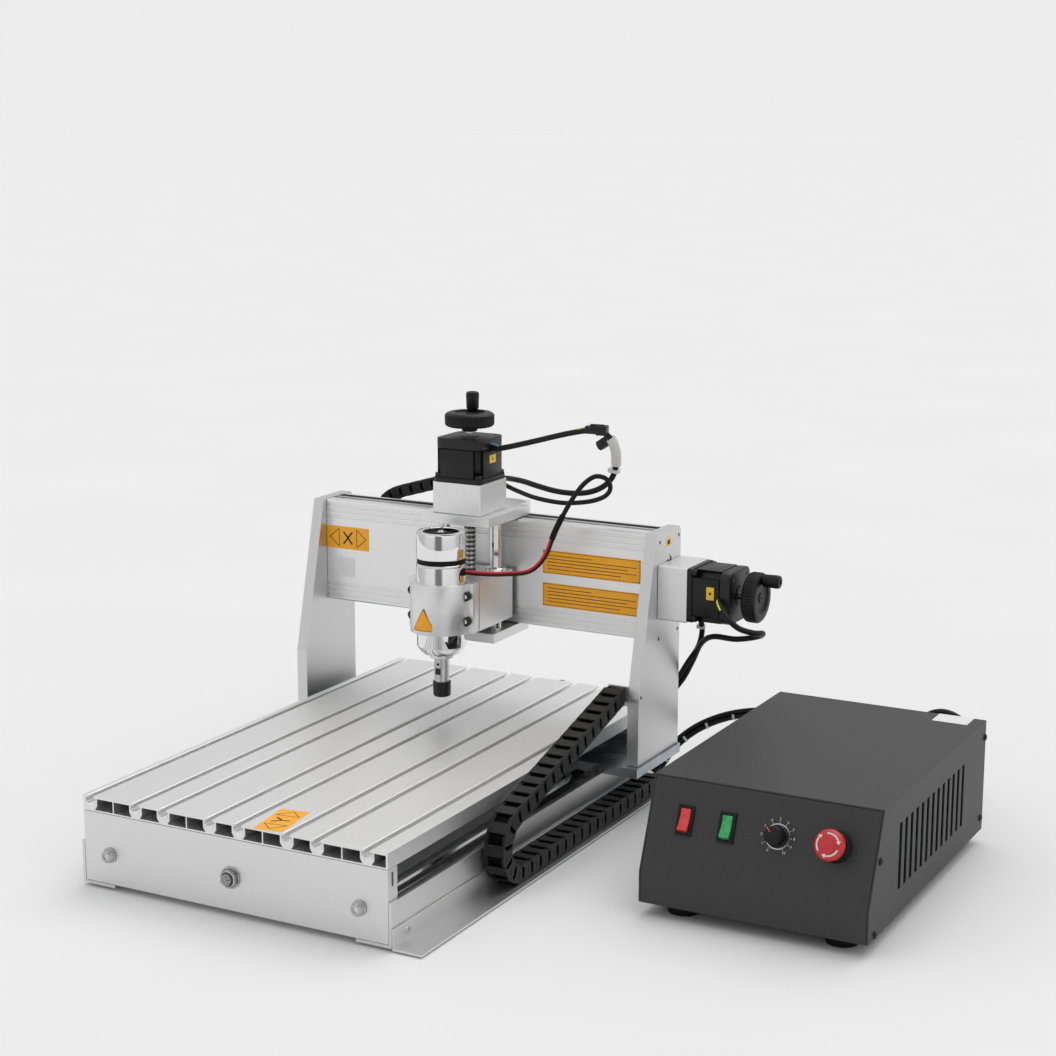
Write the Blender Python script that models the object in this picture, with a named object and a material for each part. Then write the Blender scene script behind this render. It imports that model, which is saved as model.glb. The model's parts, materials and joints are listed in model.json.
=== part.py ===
"""Desktop gantry CNC router with its control box.

Run with: blender --background --python part.py
Lengths below are in millimetres, and every mesh is written in metres. X runs across the
bed, Y from the front plate to the rear, Z up from the floor. Each moving piece has its
origin on its joint's axis, and everything hangs from one empty that is moved at the end so
that the world origin is the middle of the machine's footprint.
"""
import math

import bmesh
import bpy
from mathutils import Matrix, Vector
from mathutils.geometry import tessellate_polygon

MM = 0.001
GAP = 0.3                    # clearance between pieces that touch
FREE_LEAD = ("mains_cord", "mains_coil", "mains_plug")

# bed
BED_HALF = 167.0             # half width of the table
BED_LENGTH = 565.0
TABLE_TOP = 90.0
TABLE_THICK = 15.0
TABLE_SKIN = 2.6             # wall above the chambers
TABLE_FLOOR = 1.6            # wall under the chambers
SLOT_MARGIN = 8.8            # left edge of the table to the first slot's centre
SLOT_WIDE = 52.2             # slot to slot across a double chamber
SLOT_NARROW = 31.8           # slot to slot across a single chamber
SLOT_MOUTH = 6.0
SLOT_LIP = 2.4
SLOT_HEAD = 11.0             # width of the T-nut space
SLOT_HEAD_DEEP = 4.6
SLOT_WEB = 1.8
CHAMBER_RIB = 1.4

# end plates, rails and feet
END_THICK = 16.0
END_BOTTOM = 6.0
RAIL_WALL = 3.0
RAIL_TOP = 45.0
RAIL_FLANGE = 34.0
FOOT_RADIUS = 5.0
TRAY_WIDTH = 30.0
TRAY_WALL = 2.0
TRAY_BOTTOM = 1.5
TRAY_HEIGHT = 20.0

# Y drive
Y_ROD_INSET = 29.5           # table's edge to a rod's centre
Y_ROD_OFFSET = BED_HALF - Y_ROD_INSET
Y_ROD_HEIGHT = 35.0
Y_ROD_RADIUS = 8.0
Y_SCREW_HEIGHT = 38.0
SCREW_RADIUS = 6.0
JOURNAL_RADIUS = 4.0         # turned-down end of every lead screw
BEARING_RADIUS = 14.0
BEARING_LENGTH = 66.0

# motors and handwheels
MOTOR_SIZE = 56.4
MOTOR_LENGTH = 41.0
MOTOR_FLANGE = 5.0
MOTOR_CORNER = 4.7
MOTOR_INSET = 1.0            # how far the motor's body stands in from its flange
BLOCK_SIZE = 57.0            # square mount block between plate and motor
BLOCK_THICK = 32.5
HUB_LENGTH = 10.5            # motor face to handwheel
HUB_RADIUS = 8.5
WHEEL_RADIUS = 26.0
WHEEL_THICK = 15.0
CRANK_RADIUS = 6.6
CRANK_LENGTH = 18.5
CRANK_OFFSET = 18.5
CRANK_PIN_RADIUS = 2.5
Z_CRANK_TURN = 20.0          # where the Z crank stands, from straight back

# gantry
PLATE_THICK = 12.5
PLATE_INNER = 196.5          # centre line to the inner face of a gantry plate
GANTRY_FRONT = 416.0
PLATE_DEPTH = 99.0
PLATE_LEAN = 39.0            # how far the front edge leans back above the knee
PLATE_KNEE = 127.5
GANTRY_TOP = 292.5
BASE_TOP = 56.0
BASE_THICK = 10.0
BASE_OVERHANG = 3.0
BASE_LEAD = 8.0
BEAM_HEIGHT = 112.7
BEAM_DEPTH = 40.0
BEAM_WALL = 7.0
BEAM_FLANGE = 13.0
BEAM_GROOVE = 8.0
X_AXIS_HEIGHT = 231.4
X_AXIS_BEHIND = 26.5         # beam's front face to the X lead screw
X_ROD_SPREAD = 28.0
X_ROD_RADIUS = 6.0

# Z head
HEAD_X = 3.5                 # where the head stands across the beam
HEAD_HALF = 41.0
HEAD_PLATE = 10.0
HEAD_CLEAR = 1.2             # head plates to the beam
HEAD_FRONT = 62.0            # beam's front face to the top plate's front edge
FOOT_PLATE_FRONT = 52.0
HEAD_TAIL_HALF = 29.0
CARRIAGE_WALL = 10.0
CARRIAGE_CLEAR = 2.0
Z_ROD_FRONT = 29.0           # beam's front face to the Z rods
Z_ROD_SPREAD = 31.0
Z_ROD_RADIUS = 6.0
BLOCK_FRONT = 77.0
BLOCK_REAR = 6.0
BLOCK_BOTTOM = 187.0
BLOCK_HEIGHT = 52.4
SPINDLE_FRONT = 89.0         # beam's front face to the spindle's axis
SPINDLE_RADIUS = 26.0
SPINDLE_TOP = 291.7
SPINDLE_BOTTOM = 168.0
BLOCK_CHEEK = 12.5           # block and clamp beside the spindle
BLOCK_HALF = SPINDLE_RADIUS + BLOCK_CHEEK
CLAMP_WALL = 6.5             # ring round the spindle
CLAMP_RADIUS = SPINDLE_RADIUS + CLAMP_WALL
CLAMP_EAR = 12.0
CLAMP_SPLIT = 1.2
SHAFT_RADIUS = 8.0
NOSE_RADIUS = 12.5
NOSE_BOTTOM = 157.5
NUT_RADIUS = 9.5
NUT_TOP = 132.0
NUT_BOTTOM = 116.0
COLLET_BORE = 3.2

# drag chains
CHAIN_WIDTH = 21.5
CHAIN_HEIGHT = 18.0
CHAIN_BEND = 29.0
CHAIN_BEND_Y = 193.0
CHAIN_FIXED_Y = 505.0
CHAIN_END_LEAD = 2.0         # chain's end in front of the gantry plates
CHAIN_END_Z = 131.0
X_CHAIN_WIDTH = 18.0
X_CHAIN_HEIGHT = 14.0
X_CHAIN_BEND = 26.0
X_CHAIN_BEND_X = -136.0
X_CHAIN_FIXED_X = 120.0
X_TRAY_TOP = 236.0
X_CHAIN_END_Z = 330.0
X_TRAY_GAP = 4.0             # carriage wall to the X chain's tray
X_TRAY_WALL = 2.0

# cables
CABLE = 6.0
WIRE_PAIR = 5.0
MAINS = 7.0
COIL_RADIUS = 45.5
COIL_INNER = 31.5
COIL_HEIGHT = 21.6
COIL_X = 446.0
COIL_Y = 635.0
PLUG_LENGTH = 36.0

# control box
BOX_X = 321.0                # machine's centre line to the box's left side
BOX_Y = 181.0
BOX_WIDTH = 218.0
BOX_DEPTH = 342.0
BOX_TOP = 125.5
BOX_BOTTOM = 13.0
BOX_FOLD = 42.0              # height of the fold under the sloped panel
BOX_SETBACK = 34.0
BOX_WALL = 1.5
BOX_FOOT_RADIUS = 11.0
BOX_FOOT_INSET = 33.0
LOUVRES = 13
LOUVRE_PITCH = 15.6
LOUVRE_FIRST = 81.0
LOUVRE_WIDTH = 7.0
LOUVRE_BOTTOM = 38.0
LOUVRE_TOP = 100.0
PANEL_UP = 52.0              # height of the controls' centres up the slope
ROCKER_WIDTH = 10.0
ROCKER_LENGTH = 22.0
SWITCH_WIDTH = 15.5
SWITCH_LENGTH = 27.5
SWITCH_BEZEL = 2.0
SWITCH_DEEP = 16.0
POWER_X = 36.5
SPINDLE_SWITCH_X = 77.0
KNOB_X = 125.5
KNOB_RADIUS = 10.5
KNOB_HEIGHT = 15.0
ESTOP_X = 179.5
ESTOP_RADIUS = 14.0
ESTOP_COLLAR = 12.0
ESTOP_STEM = 6.0

BEAM_FRONT = GANTRY_FRONT + PLATE_LEAN + 5.0
BEAM_BOTTOM = GANTRY_TOP - 0.7 - BEAM_HEIGHT
BEAM_TOP = BEAM_BOTTOM + BEAM_HEIGHT
X_AXIS_Y = BEAM_FRONT + X_AXIS_BEHIND
TABLE_BOTTOM = TABLE_TOP - TABLE_THICK
HEAD_TOP = BEAM_TOP + HEAD_CLEAR + HEAD_PLATE
HEAD_BOTTOM = BEAM_BOTTOM - HEAD_CLEAR - HEAD_PLATE
Z_AXIS_Y = BEAM_FRONT - Z_ROD_FRONT
SPINDLE_Y = BEAM_FRONT - SPINDLE_FRONT
CARRIAGE_REAR = BEAM_FRONT + BEAM_DEPTH + CARRIAGE_CLEAR + CARRIAGE_WALL
TRAY_X = BED_HALF + GAP + RAIL_WALL + GAP


# ---------------------------------------------------------------- helpers

def clear_scene():
    for obj in list(bpy.data.objects):
        bpy.data.objects.remove(obj, do_unlink=True)


MATERIALS = {
    "aluminium": ((0.66, 0.67, 0.68), 0.42, 1.0),
    "plate": ((0.60, 0.61, 0.62), 0.45, 1.0),
    "steel": ((0.62, 0.63, 0.65), 0.25, 1.0),
    "chrome": ((0.80, 0.80, 0.81), 0.06, 1.0),
    "dark_steel": ((0.12, 0.12, 0.13), 0.35, 0.9),
    "motor_black": ((0.018, 0.018, 0.02), 0.35, 0.3),
    "black_plastic": ((0.022, 0.022, 0.024), 0.5, 0.0),
    "powder_coat": ((0.03, 0.03, 0.032), 0.55, 0.0),
    "red_plastic": ((0.62, 0.02, 0.02), 0.3, 0.0),
    "green_plastic": ((0.02, 0.38, 0.10), 0.3, 0.0),
    "board_green": ((0.03, 0.22, 0.10), 0.5, 0.0),
    "rubber": ((0.02, 0.02, 0.02), 0.7, 0.0),
}


def material(name):
    found = bpy.data.materials.get(name)
    if found:
        return found
    color, roughness, metallic = MATERIALS[name]
    made = bpy.data.materials.new(name)
    made.use_nodes = True
    shader = made.node_tree.nodes["Principled BSDF"]
    shader.inputs["Base Color"].default_value = (*color, 1.0)
    shader.inputs["Roughness"].default_value = roughness
    shader.inputs["Metallic"].default_value = metallic
    return made


def new_object(name, bm):
    bmesh.ops.recalc_face_normals(bm, faces=bm.faces)
    mesh = bpy.data.meshes.new(name)
    bm.to_mesh(mesh)
    bm.free()
    obj = bpy.data.objects.new(name, mesh)
    bpy.context.collection.objects.link(obj)
    return obj


def box(x0, x1, y0, y1, z0, z1, name="tool"):
    bm = bmesh.new()
    bmesh.ops.create_cube(bm, size=1.0)
    size = Matrix.Diagonal(((x1 - x0) * MM, (y1 - y0) * MM, (z1 - z0) * MM, 1.0))
    middle = Vector(((x0 + x1) / 2, (y0 + y1) / 2, (z0 + z1) / 2)) * MM
    bmesh.ops.transform(bm, matrix=Matrix.Translation(middle) @ size, verts=bm.verts)
    return new_object(name, bm)


AXIS_TURN = {
    "X": Matrix(((0, 0, 1), (1, 0, 0), (0, 1, 0))).to_4x4(),
    "Y": Matrix(((0, 1, 0), (0, 0, 1), (1, 0, 0))).to_4x4(),
    "Z": Matrix.Identity(4),
}


def lathe(axis, centre, profile, sides=24, name="tool"):
    """A turned piece: profile holds (height along the axis, radius), ends closed flat."""
    bm = bmesh.new()
    rings = []
    for height, radius in profile:
        ring = []
        for i in range(sides):
            turn = 2 * math.pi * (i + 0.5) / sides
            ring.append(bm.verts.new((radius * math.cos(turn) * MM,
                                      radius * math.sin(turn) * MM, height * MM)))
        rings.append(ring)
    for low, high in zip(rings, rings[1:]):
        for i in range(sides):
            j = (i + 1) % sides
            bm.faces.new((low[i], low[j], high[j], high[i]))
    bm.faces.new(rings[0][::-1])
    bm.faces.new(rings[-1])
    move = Matrix.Translation(Vector(centre) * MM) @ AXIS_TURN[axis]
    bmesh.ops.transform(bm, matrix=move, verts=bm.verts)
    return new_object(name, bm)


def rod(axis, centre, start, end, radius, sides=20, name="tool"):
    return lathe(axis, centre, [(start, radius), (end, radius)], sides, name)


def prism(axis, loops, start, end, name="tool"):
    """Extrude an outline with holes along an axis; the outline's plane follows AXIS_TURN."""
    flat = [Vector((a, b, 0.0)) for loop in loops for a, b in loop]
    triangles = tessellate_polygon([[Vector((a, b, 0.0)) for a, b in loop] for loop in loops])
    bm = bmesh.new()
    low = [bm.verts.new((p.x * MM, p.y * MM, start * MM)) for p in flat]
    high = [bm.verts.new((p.x * MM, p.y * MM, end * MM)) for p in flat]
    for a, b, c in triangles:
        bm.faces.new((low[a], low[b], low[c]))
        bm.faces.new((high[c], high[b], high[a]))
    first = 0
    for loop in loops:
        count = len(loop)
        for i in range(count):
            a, b = first + i, first + (i + 1) % count
            bm.faces.new((low[a], low[b], high[b], high[a]))
        first += count
    bmesh.ops.transform(bm, matrix=AXIS_TURN[axis], verts=bm.verts)
    return new_object(name, bm)


def boolean(body, tools, operation):
    for tool in tools:
        step = body.modifiers.new(operation.lower(), "BOOLEAN")
        step.operation = operation
        step.solver = "EXACT"
        step.object = tool
    evaluated = body.evaluated_get(bpy.context.evaluated_depsgraph_get())
    mesh = bpy.data.meshes.new_from_object(evaluated)
    old = body.data
    body.modifiers.clear()
    body.data = mesh
    bpy.data.meshes.remove(old)
    for tool in tools:
        bpy.data.objects.remove(tool, do_unlink=True)
    return body


def cut(body, *tools):
    return boolean(body, tools, "DIFFERENCE")


def add(body, *tools):
    return boolean(body, tools, "UNION")


def arc(cx, cy, radius, start, end, steps):
    """Points of an arc in degrees, both ends included."""
    turns = [math.radians(start + (end - start) * i / steps) for i in range(steps + 1)]
    return [(cx + radius * math.cos(t), cy + radius * math.sin(t)) for t in turns]


def chamfered(x0, x1, y0, y1, edge):
    return [(x0 + edge, y0), (x1 - edge, y0), (x1, y0 + edge), (x1, y1 - edge),
            (x1 - edge, y1), (x0 + edge, y1), (x0, y1 - edge), (x0, y0 + edge)]


GROUPS = {}


def group(name, location, parent=None):
    empty = bpy.data.objects.new(name, None)
    bpy.context.collection.objects.link(empty)
    empty.location = Vector(location) * MM
    if parent:
        empty.parent = GROUPS[parent]
        empty.location -= GROUPS[parent].matrix_world.translation
    GROUPS[name] = empty
    bpy.context.view_layer.update()
    return empty


def finish(obj, name, look, parent, origin=None):
    """Name a solid, give it its material, put its origin on its axis and parent it."""
    obj.name = name
    obj.data.name = name
    obj.data.materials.clear()
    obj.data.materials.append(material(look))
    home = GROUPS[parent].matrix_world.translation.copy()
    point = Vector(origin) * MM if origin else home
    obj.data.transform(Matrix.Translation(-point))
    obj.parent = GROUPS[parent]
    obj.location = point - home
    return obj


# ---------------------------------------------------------------- bed

def slot_centres():
    """Across the table from its left edge, as many as leave a wall at the right edge."""
    centres = [-BED_HALF + SLOT_MARGIN]
    last = BED_HALF - SLOT_HEAD / 2 - SLOT_WEB
    while True:
        step = SLOT_WIDE if len(centres) % 2 else SLOT_NARROW
        if centres[-1] + step > last:
            return centres
        centres.append(centres[-1] + step)


def slot_outline(x):
    """One T-slot from the top face down, with a round port under its head."""
    lip, head = SLOT_MOUTH / 2, SLOT_HEAD / 2
    under = TABLE_TOP - SLOT_LIP
    floor = under - SLOT_HEAD_DEEP
    port = arc(x, floor, 2.6, 180, 360, 6)
    return ([(x - lip - 0.8, TABLE_TOP), (x - lip, TABLE_TOP - 0.8), (x - lip, under),
             (x - head, under), (x - head, floor + 1.2), (x - head + 1.2, floor)]
            + port
            + [(x + head - 1.2, floor), (x + head, floor + 1.2), (x + head, under),
               (x + lip, under), (x + lip, TABLE_TOP - 0.8), (x + lip + 0.8, TABLE_TOP)])


def table_loops():
    outer = [(-BED_HALF, TABLE_BOTTOM), (-BED_HALF, TABLE_TOP)]
    for x in slot_centres():
        outer += slot_outline(x)
    outer += [(BED_HALF, TABLE_TOP), (BED_HALF, TABLE_BOTTOM)]
    low, high = TABLE_BOTTOM + TABLE_FLOOR, TABLE_TOP - TABLE_SKIN
    holes = []
    centres = slot_centres()
    side = SLOT_HEAD / 2 + SLOT_WEB
    for i, (a, b) in enumerate(zip(centres, centres[1:])):
        if i % 2 == 0:
            middle = (a + b) / 2
            rib = CHAMBER_RIB / 2
            holes.append([(a + side - 2.5, low), (middle - rib, low), (middle - rib, high),
                          (a + side, high), (a + side, low + 4.0)])
            holes.append([(middle + rib, low), (b - side + 2.5, low), (b - side, low + 4.0),
                          (b - side, high), (middle + rib, high)])
        else:
            holes.append([(a + side - 2.5, low), (b - side + 2.5, low), (b - side, low + 4.0),
                          (b - side, high), (a + side, high), (a + side, low + 4.0)])
    last = centres[-1] + side
    if BED_HALF - 3.0 > last + 4.0:
        holes.append([(last - 2.5, low), (BED_HALF - 2.0, low), (BED_HALF - 2.0, high),
                      (last, high), (last, low + 4.0)])
    return [outer] + holes


def build_bed():
    # prism along Y has its outline in (Z, X): the loops are written as (X, Z)
    loops = [[(z, x) for x, z in loop] for loop in table_loops()]
    finish(prism("Y", loops, 0, BED_LENGTH), "table", "aluminium", "frame")
    top = TABLE_BOTTOM - GAP
    for name, y0, shaft in (("front_plate", 0, JOURNAL_RADIUS),
                            ("rear_plate", BED_LENGTH - END_THICK, JOURNAL_RADIUS)):
        plate = box(-BED_HALF, BED_HALF, y0, y0 + END_THICK, END_BOTTOM + GAP, top)
        tools = [rod("Y", (0, 0, Y_SCREW_HEIGHT), y0 - 1, y0 + END_THICK + 1,
                     shaft + GAP, 24)]
        for side in (-1, 1):
            tools.append(rod("Y", (side * Y_ROD_OFFSET, 0, Y_ROD_HEIGHT), y0 - 1,
                             y0 + END_THICK + 1, 3 + GAP, 16))
            edge = side * BED_HALF
            tools.append(box(min(edge, edge - side * 8) - 0.5, max(edge, edge - side * 8) + 0.5,
                             y0 + 6.5, y0 + 9.5, top - 17, top - 4))
        finish(cut(plate, *tools), name, "plate", "frame")


def build_rails():
    bottom = END_BOTTOM - RAIL_WALL
    for side, name in ((-1, "side_rail_left"), (1, "side_rail_right")):
        inner = BED_HALF + GAP
        outline = [(inner + RAIL_WALL, bottom), (inner + RAIL_WALL, RAIL_TOP), (inner, RAIL_TOP),
                   (inner, END_BOTTOM), (inner - RAIL_FLANGE, END_BOTTOM),
                   (inner - RAIL_FLANGE, bottom)]
        rail = prism("Y", [[(z, side * x) for x, z in outline]], 0, BED_LENGTH)
        feet = [rod("Z", (side * (inner - 15), y, 0), 0, bottom + 0.5, FOOT_RADIUS, 20)
                for y in (12, BED_LENGTH / 2, BED_LENGTH - 12)]
        finish(add(rail, *feet), name, "aluminium", "frame")
    left, right = TRAY_X, TRAY_X + TRAY_WIDTH
    outline = [(left, TRAY_BOTTOM), (right, TRAY_BOTTOM), (right, TRAY_BOTTOM + TRAY_WALL),
               (left + TRAY_WALL, TRAY_BOTTOM + TRAY_WALL),
               (left + TRAY_WALL, TRAY_BOTTOM + TRAY_HEIGHT), (left, TRAY_BOTTOM + TRAY_HEIGHT)]
    tray = prism("Y", [[(z, x) for x, z in outline]], 0, BED_LENGTH)
    heads = [rod("X", (0, y, TRAY_BOTTOM + TRAY_HEIGHT * 0.6), left + 0.5,
                 left + TRAY_WALL + 1.6, 3.4, 16) for y in (22, BED_LENGTH - 22)]
    finish(add(tray, *heads), "chain_tray", "aluminium", "frame")


def build_y_drive():
    for side, name in ((-1, "y_rod_left"), (1, "y_rod_right")):
        profile = [(-5.5, 6.0), (-GAP, 6.0), (-GAP, 3.0), (END_THICK + GAP, 3.0),
                   (END_THICK + GAP, Y_ROD_RADIUS),
                   (BED_LENGTH - END_THICK - GAP, Y_ROD_RADIUS),
                   (BED_LENGTH - END_THICK - GAP, 3.0), (BED_LENGTH + GAP, 3.0),
                   (BED_LENGTH + GAP, 6.0), (BED_LENGTH + 5.5, 6.0)]
        piece = lathe("Y", (side * Y_ROD_OFFSET, 0, Y_ROD_HEIGHT), profile, 20)
        finish(piece, name, "steel", "frame")
    axis = (0, 0, Y_SCREW_HEIGHT)
    motor("y_motor", "frame", "Y", axis, BED_LENGTH, 1)
    start, end = END_THICK + GAP, BED_LENGTH - END_THICK - GAP
    face = BED_LENGTH + GAP + MOTOR_FLANGE + MOTOR_LENGTH
    profile = [(-8.0, 5.0), (-4.0, 8.0), (-3.0, 8.0), (-2.0, 9.0), (-GAP, 9.0),
               (-GAP, JOURNAL_RADIUS), (start, JOURNAL_RADIUS), (start, SCREW_RADIUS),
               (end, SCREW_RADIUS), (end, JOURNAL_RADIUS), (face + GAP, JOURNAL_RADIUS),
               (face + HUB_LENGTH, JOURNAL_RADIUS)]
    finish(lathe("Y", axis, profile, 16), "y_screw", "steel", "y_screw_axis")
    wheel("y_handwheel", "y_screw_axis", "Y", axis, face + HUB_LENGTH, 1, True)


# ---------------------------------------------------------------- motors

def square_on(axis, centre, half, edge, start, end):
    """A chamfered square bar on an axis through centre."""
    bar = prism("Z", [chamfered(-half, half, -half, half, edge)], start, end)
    bar.data.transform(Matrix.Translation(Vector(centre) * MM) @ AXIS_TURN[axis])
    return bar


def motor(name, parent, axis, centre, start, sense):
    """A stepper motor whose flange starts GAP beyond start."""
    half = MOTOR_SIZE / 2
    near = start + sense * GAP
    flange = near + sense * MOTOR_FLANGE
    far = flange + sense * MOTOR_LENGTH
    body = square_on(axis, centre, half, 1.2, min(near, flange), max(near, flange))
    inner = square_on(axis, centre, half - MOTOR_INSET, MOTOR_CORNER,
                      min(near + sense, far), max(near + sense, far))
    add(body, inner)
    cut(body, rod(axis, centre, min(near, far) - 1, max(near, far) + 1,
                  JOURNAL_RADIUS + GAP, 16))
    return finish(body, name, "motor_black", parent)


def wheel(name, parent, axis, centre, start, sense, knob=False):
    """A knurled handwheel on a screw's end, with its hub towards the motor."""
    far = start + sense * WHEEL_THICK
    ribs = 24
    outline = []
    for i in range(ribs):
        for share, depth in ((0.0, 0.0), (0.5, 1.2)):
            turn = 2 * math.pi * (i + share) / ribs
            radius = WHEEL_RADIUS - depth
            outline.append((radius * math.cos(turn), radius * math.sin(turn)))
    body = prism("Z", [outline], min(start, far), max(start, far))
    body.data.transform(Matrix.Translation(Vector(centre) * MM) @ AXIS_TURN[axis])
    hub_start = start - sense * (HUB_LENGTH - 1.5)
    hub_end = start + sense * 1.0
    tools = [rod(axis, centre, min(hub_start, hub_end), max(hub_start, hub_end),
                 HUB_RADIUS, 24)]
    add(body, *tools)
    bore_end = start + sense * (GAP + 0.1)
    bore = rod(axis, centre, min(hub_start - sense, bore_end), max(hub_start - sense, bore_end),
               JOURNAL_RADIUS + GAP, 16)
    dish = rod(axis, centre, min(far - sense * 3, far + sense), max(far - sense * 3, far + sense),
               WHEEL_RADIUS - 10, 24)
    cut(body, bore, dish)
    pin = crank_point(axis, centre)
    if knob:
        add(body, rod(axis, pin, min(far - sense * 4, far + sense * CRANK_LENGTH),
                      max(far - sense * 4, far + sense * CRANK_LENGTH), CRANK_RADIUS, 20))
    else:
        cut(body, rod(axis, pin, min(far - sense * 12, far + sense),
                      max(far - sense * 12, far + sense), CRANK_PIN_RADIUS + GAP, 16))
    return finish(body, name, "black_plastic", parent, centre)


def crank_point(axis, centre):
    """The crank's own axis: up from an X or Y axis, and back from the Z axis."""
    x, y, z = centre
    if axis != "Z":
        return (x, y, z + CRANK_OFFSET)
    turn = math.radians(Z_CRANK_TURN)
    return (x - CRANK_OFFSET * math.sin(turn), y + CRANK_OFFSET * math.cos(turn), z)


def crank(name, parent, axis, centre, start, sense):
    far = start + sense * WHEEL_THICK
    pin = crank_point(axis, centre)
    heights = [-11.5, GAP, GAP, CRANK_LENGTH - 2, CRANK_LENGTH]
    radii = [CRANK_PIN_RADIUS, CRANK_PIN_RADIUS, CRANK_RADIUS, CRANK_RADIUS + 0.6,
             CRANK_RADIUS - 1.2]
    profile = [(far + sense * h, r) for h, r in zip(heights, radii)]
    if sense < 0:
        profile.reverse()
    return finish(lathe(axis, pin, profile, 20), name, "black_plastic", parent, pin)


def build_mounts_and_wheels():
    # X: block, motor, screw, handwheel and crank on the right gantry plate
    axis = (0, X_AXIS_Y, X_AXIS_HEIGHT)
    plate = PLATE_INNER + PLATE_THICK + GAP
    half = BLOCK_SIZE / 2
    block = square_on("X", axis, half, 1.0, plate, plate + BLOCK_THICK)
    cut(block, rod("X", axis, plate - 1, plate + BLOCK_THICK + 1, 12, 32))
    finish(block, "x_motor_mount", "aluminium", "gantry")
    motor("x_motor", "gantry", "X", axis, plate + BLOCK_THICK, 1)
    face = plate + BLOCK_THICK + GAP + MOTOR_FLANGE + MOTOR_LENGTH
    inner = PLATE_INNER - 1.5
    profile = [(-inner - 6, JOURNAL_RADIUS), (-inner, JOURNAL_RADIUS), (-inner, SCREW_RADIUS),
               (inner, SCREW_RADIUS), (inner, JOURNAL_RADIUS),
               (face + HUB_LENGTH, JOURNAL_RADIUS)]
    finish(lathe("X", axis, profile, 16), "x_screw", "steel", "x_screw_axis")
    wheel("x_handwheel", "x_screw_axis", "X", axis, face + HUB_LENGTH, 1)
    crank("x_crank", "x_crank_axis", "X", axis, face + HUB_LENGTH, 1)
    # Z: the same on top of the head
    axis = (HEAD_X, Z_AXIS_Y, 0)
    low = HEAD_TOP + GAP
    block = square_on("Z", axis, half, 1.0, low, low + BLOCK_THICK)
    cut(block, rod("Z", axis, low - 1, low + BLOCK_THICK + 1, 12, 32))
    finish(block, "z_motor_mount", "aluminium", "x_carriage")
    motor("z_motor", "x_carriage", "Z", axis, low + BLOCK_THICK, 1)
    face = low + BLOCK_THICK + GAP + MOTOR_FLANGE + MOTOR_LENGTH
    under = HEAD_TOP - HEAD_PLATE - GAP
    floor = HEAD_BOTTOM + HEAD_PLATE + GAP
    profile = [(floor - 6, JOURNAL_RADIUS), (floor, JOURNAL_RADIUS), (floor, SCREW_RADIUS),
               (under, SCREW_RADIUS), (under, JOURNAL_RADIUS),
               (face + HUB_LENGTH, JOURNAL_RADIUS)]
    finish(lathe("Z", axis, profile, 16), "z_screw", "steel", "z_screw_axis")
    wheel("z_handwheel", "z_screw_axis", "Z", axis, face + HUB_LENGTH, 1)
    crank("z_crank", "z_crank_axis", "Z", axis, face + HUB_LENGTH, 1)


# ---------------------------------------------------------------- gantry

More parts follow.
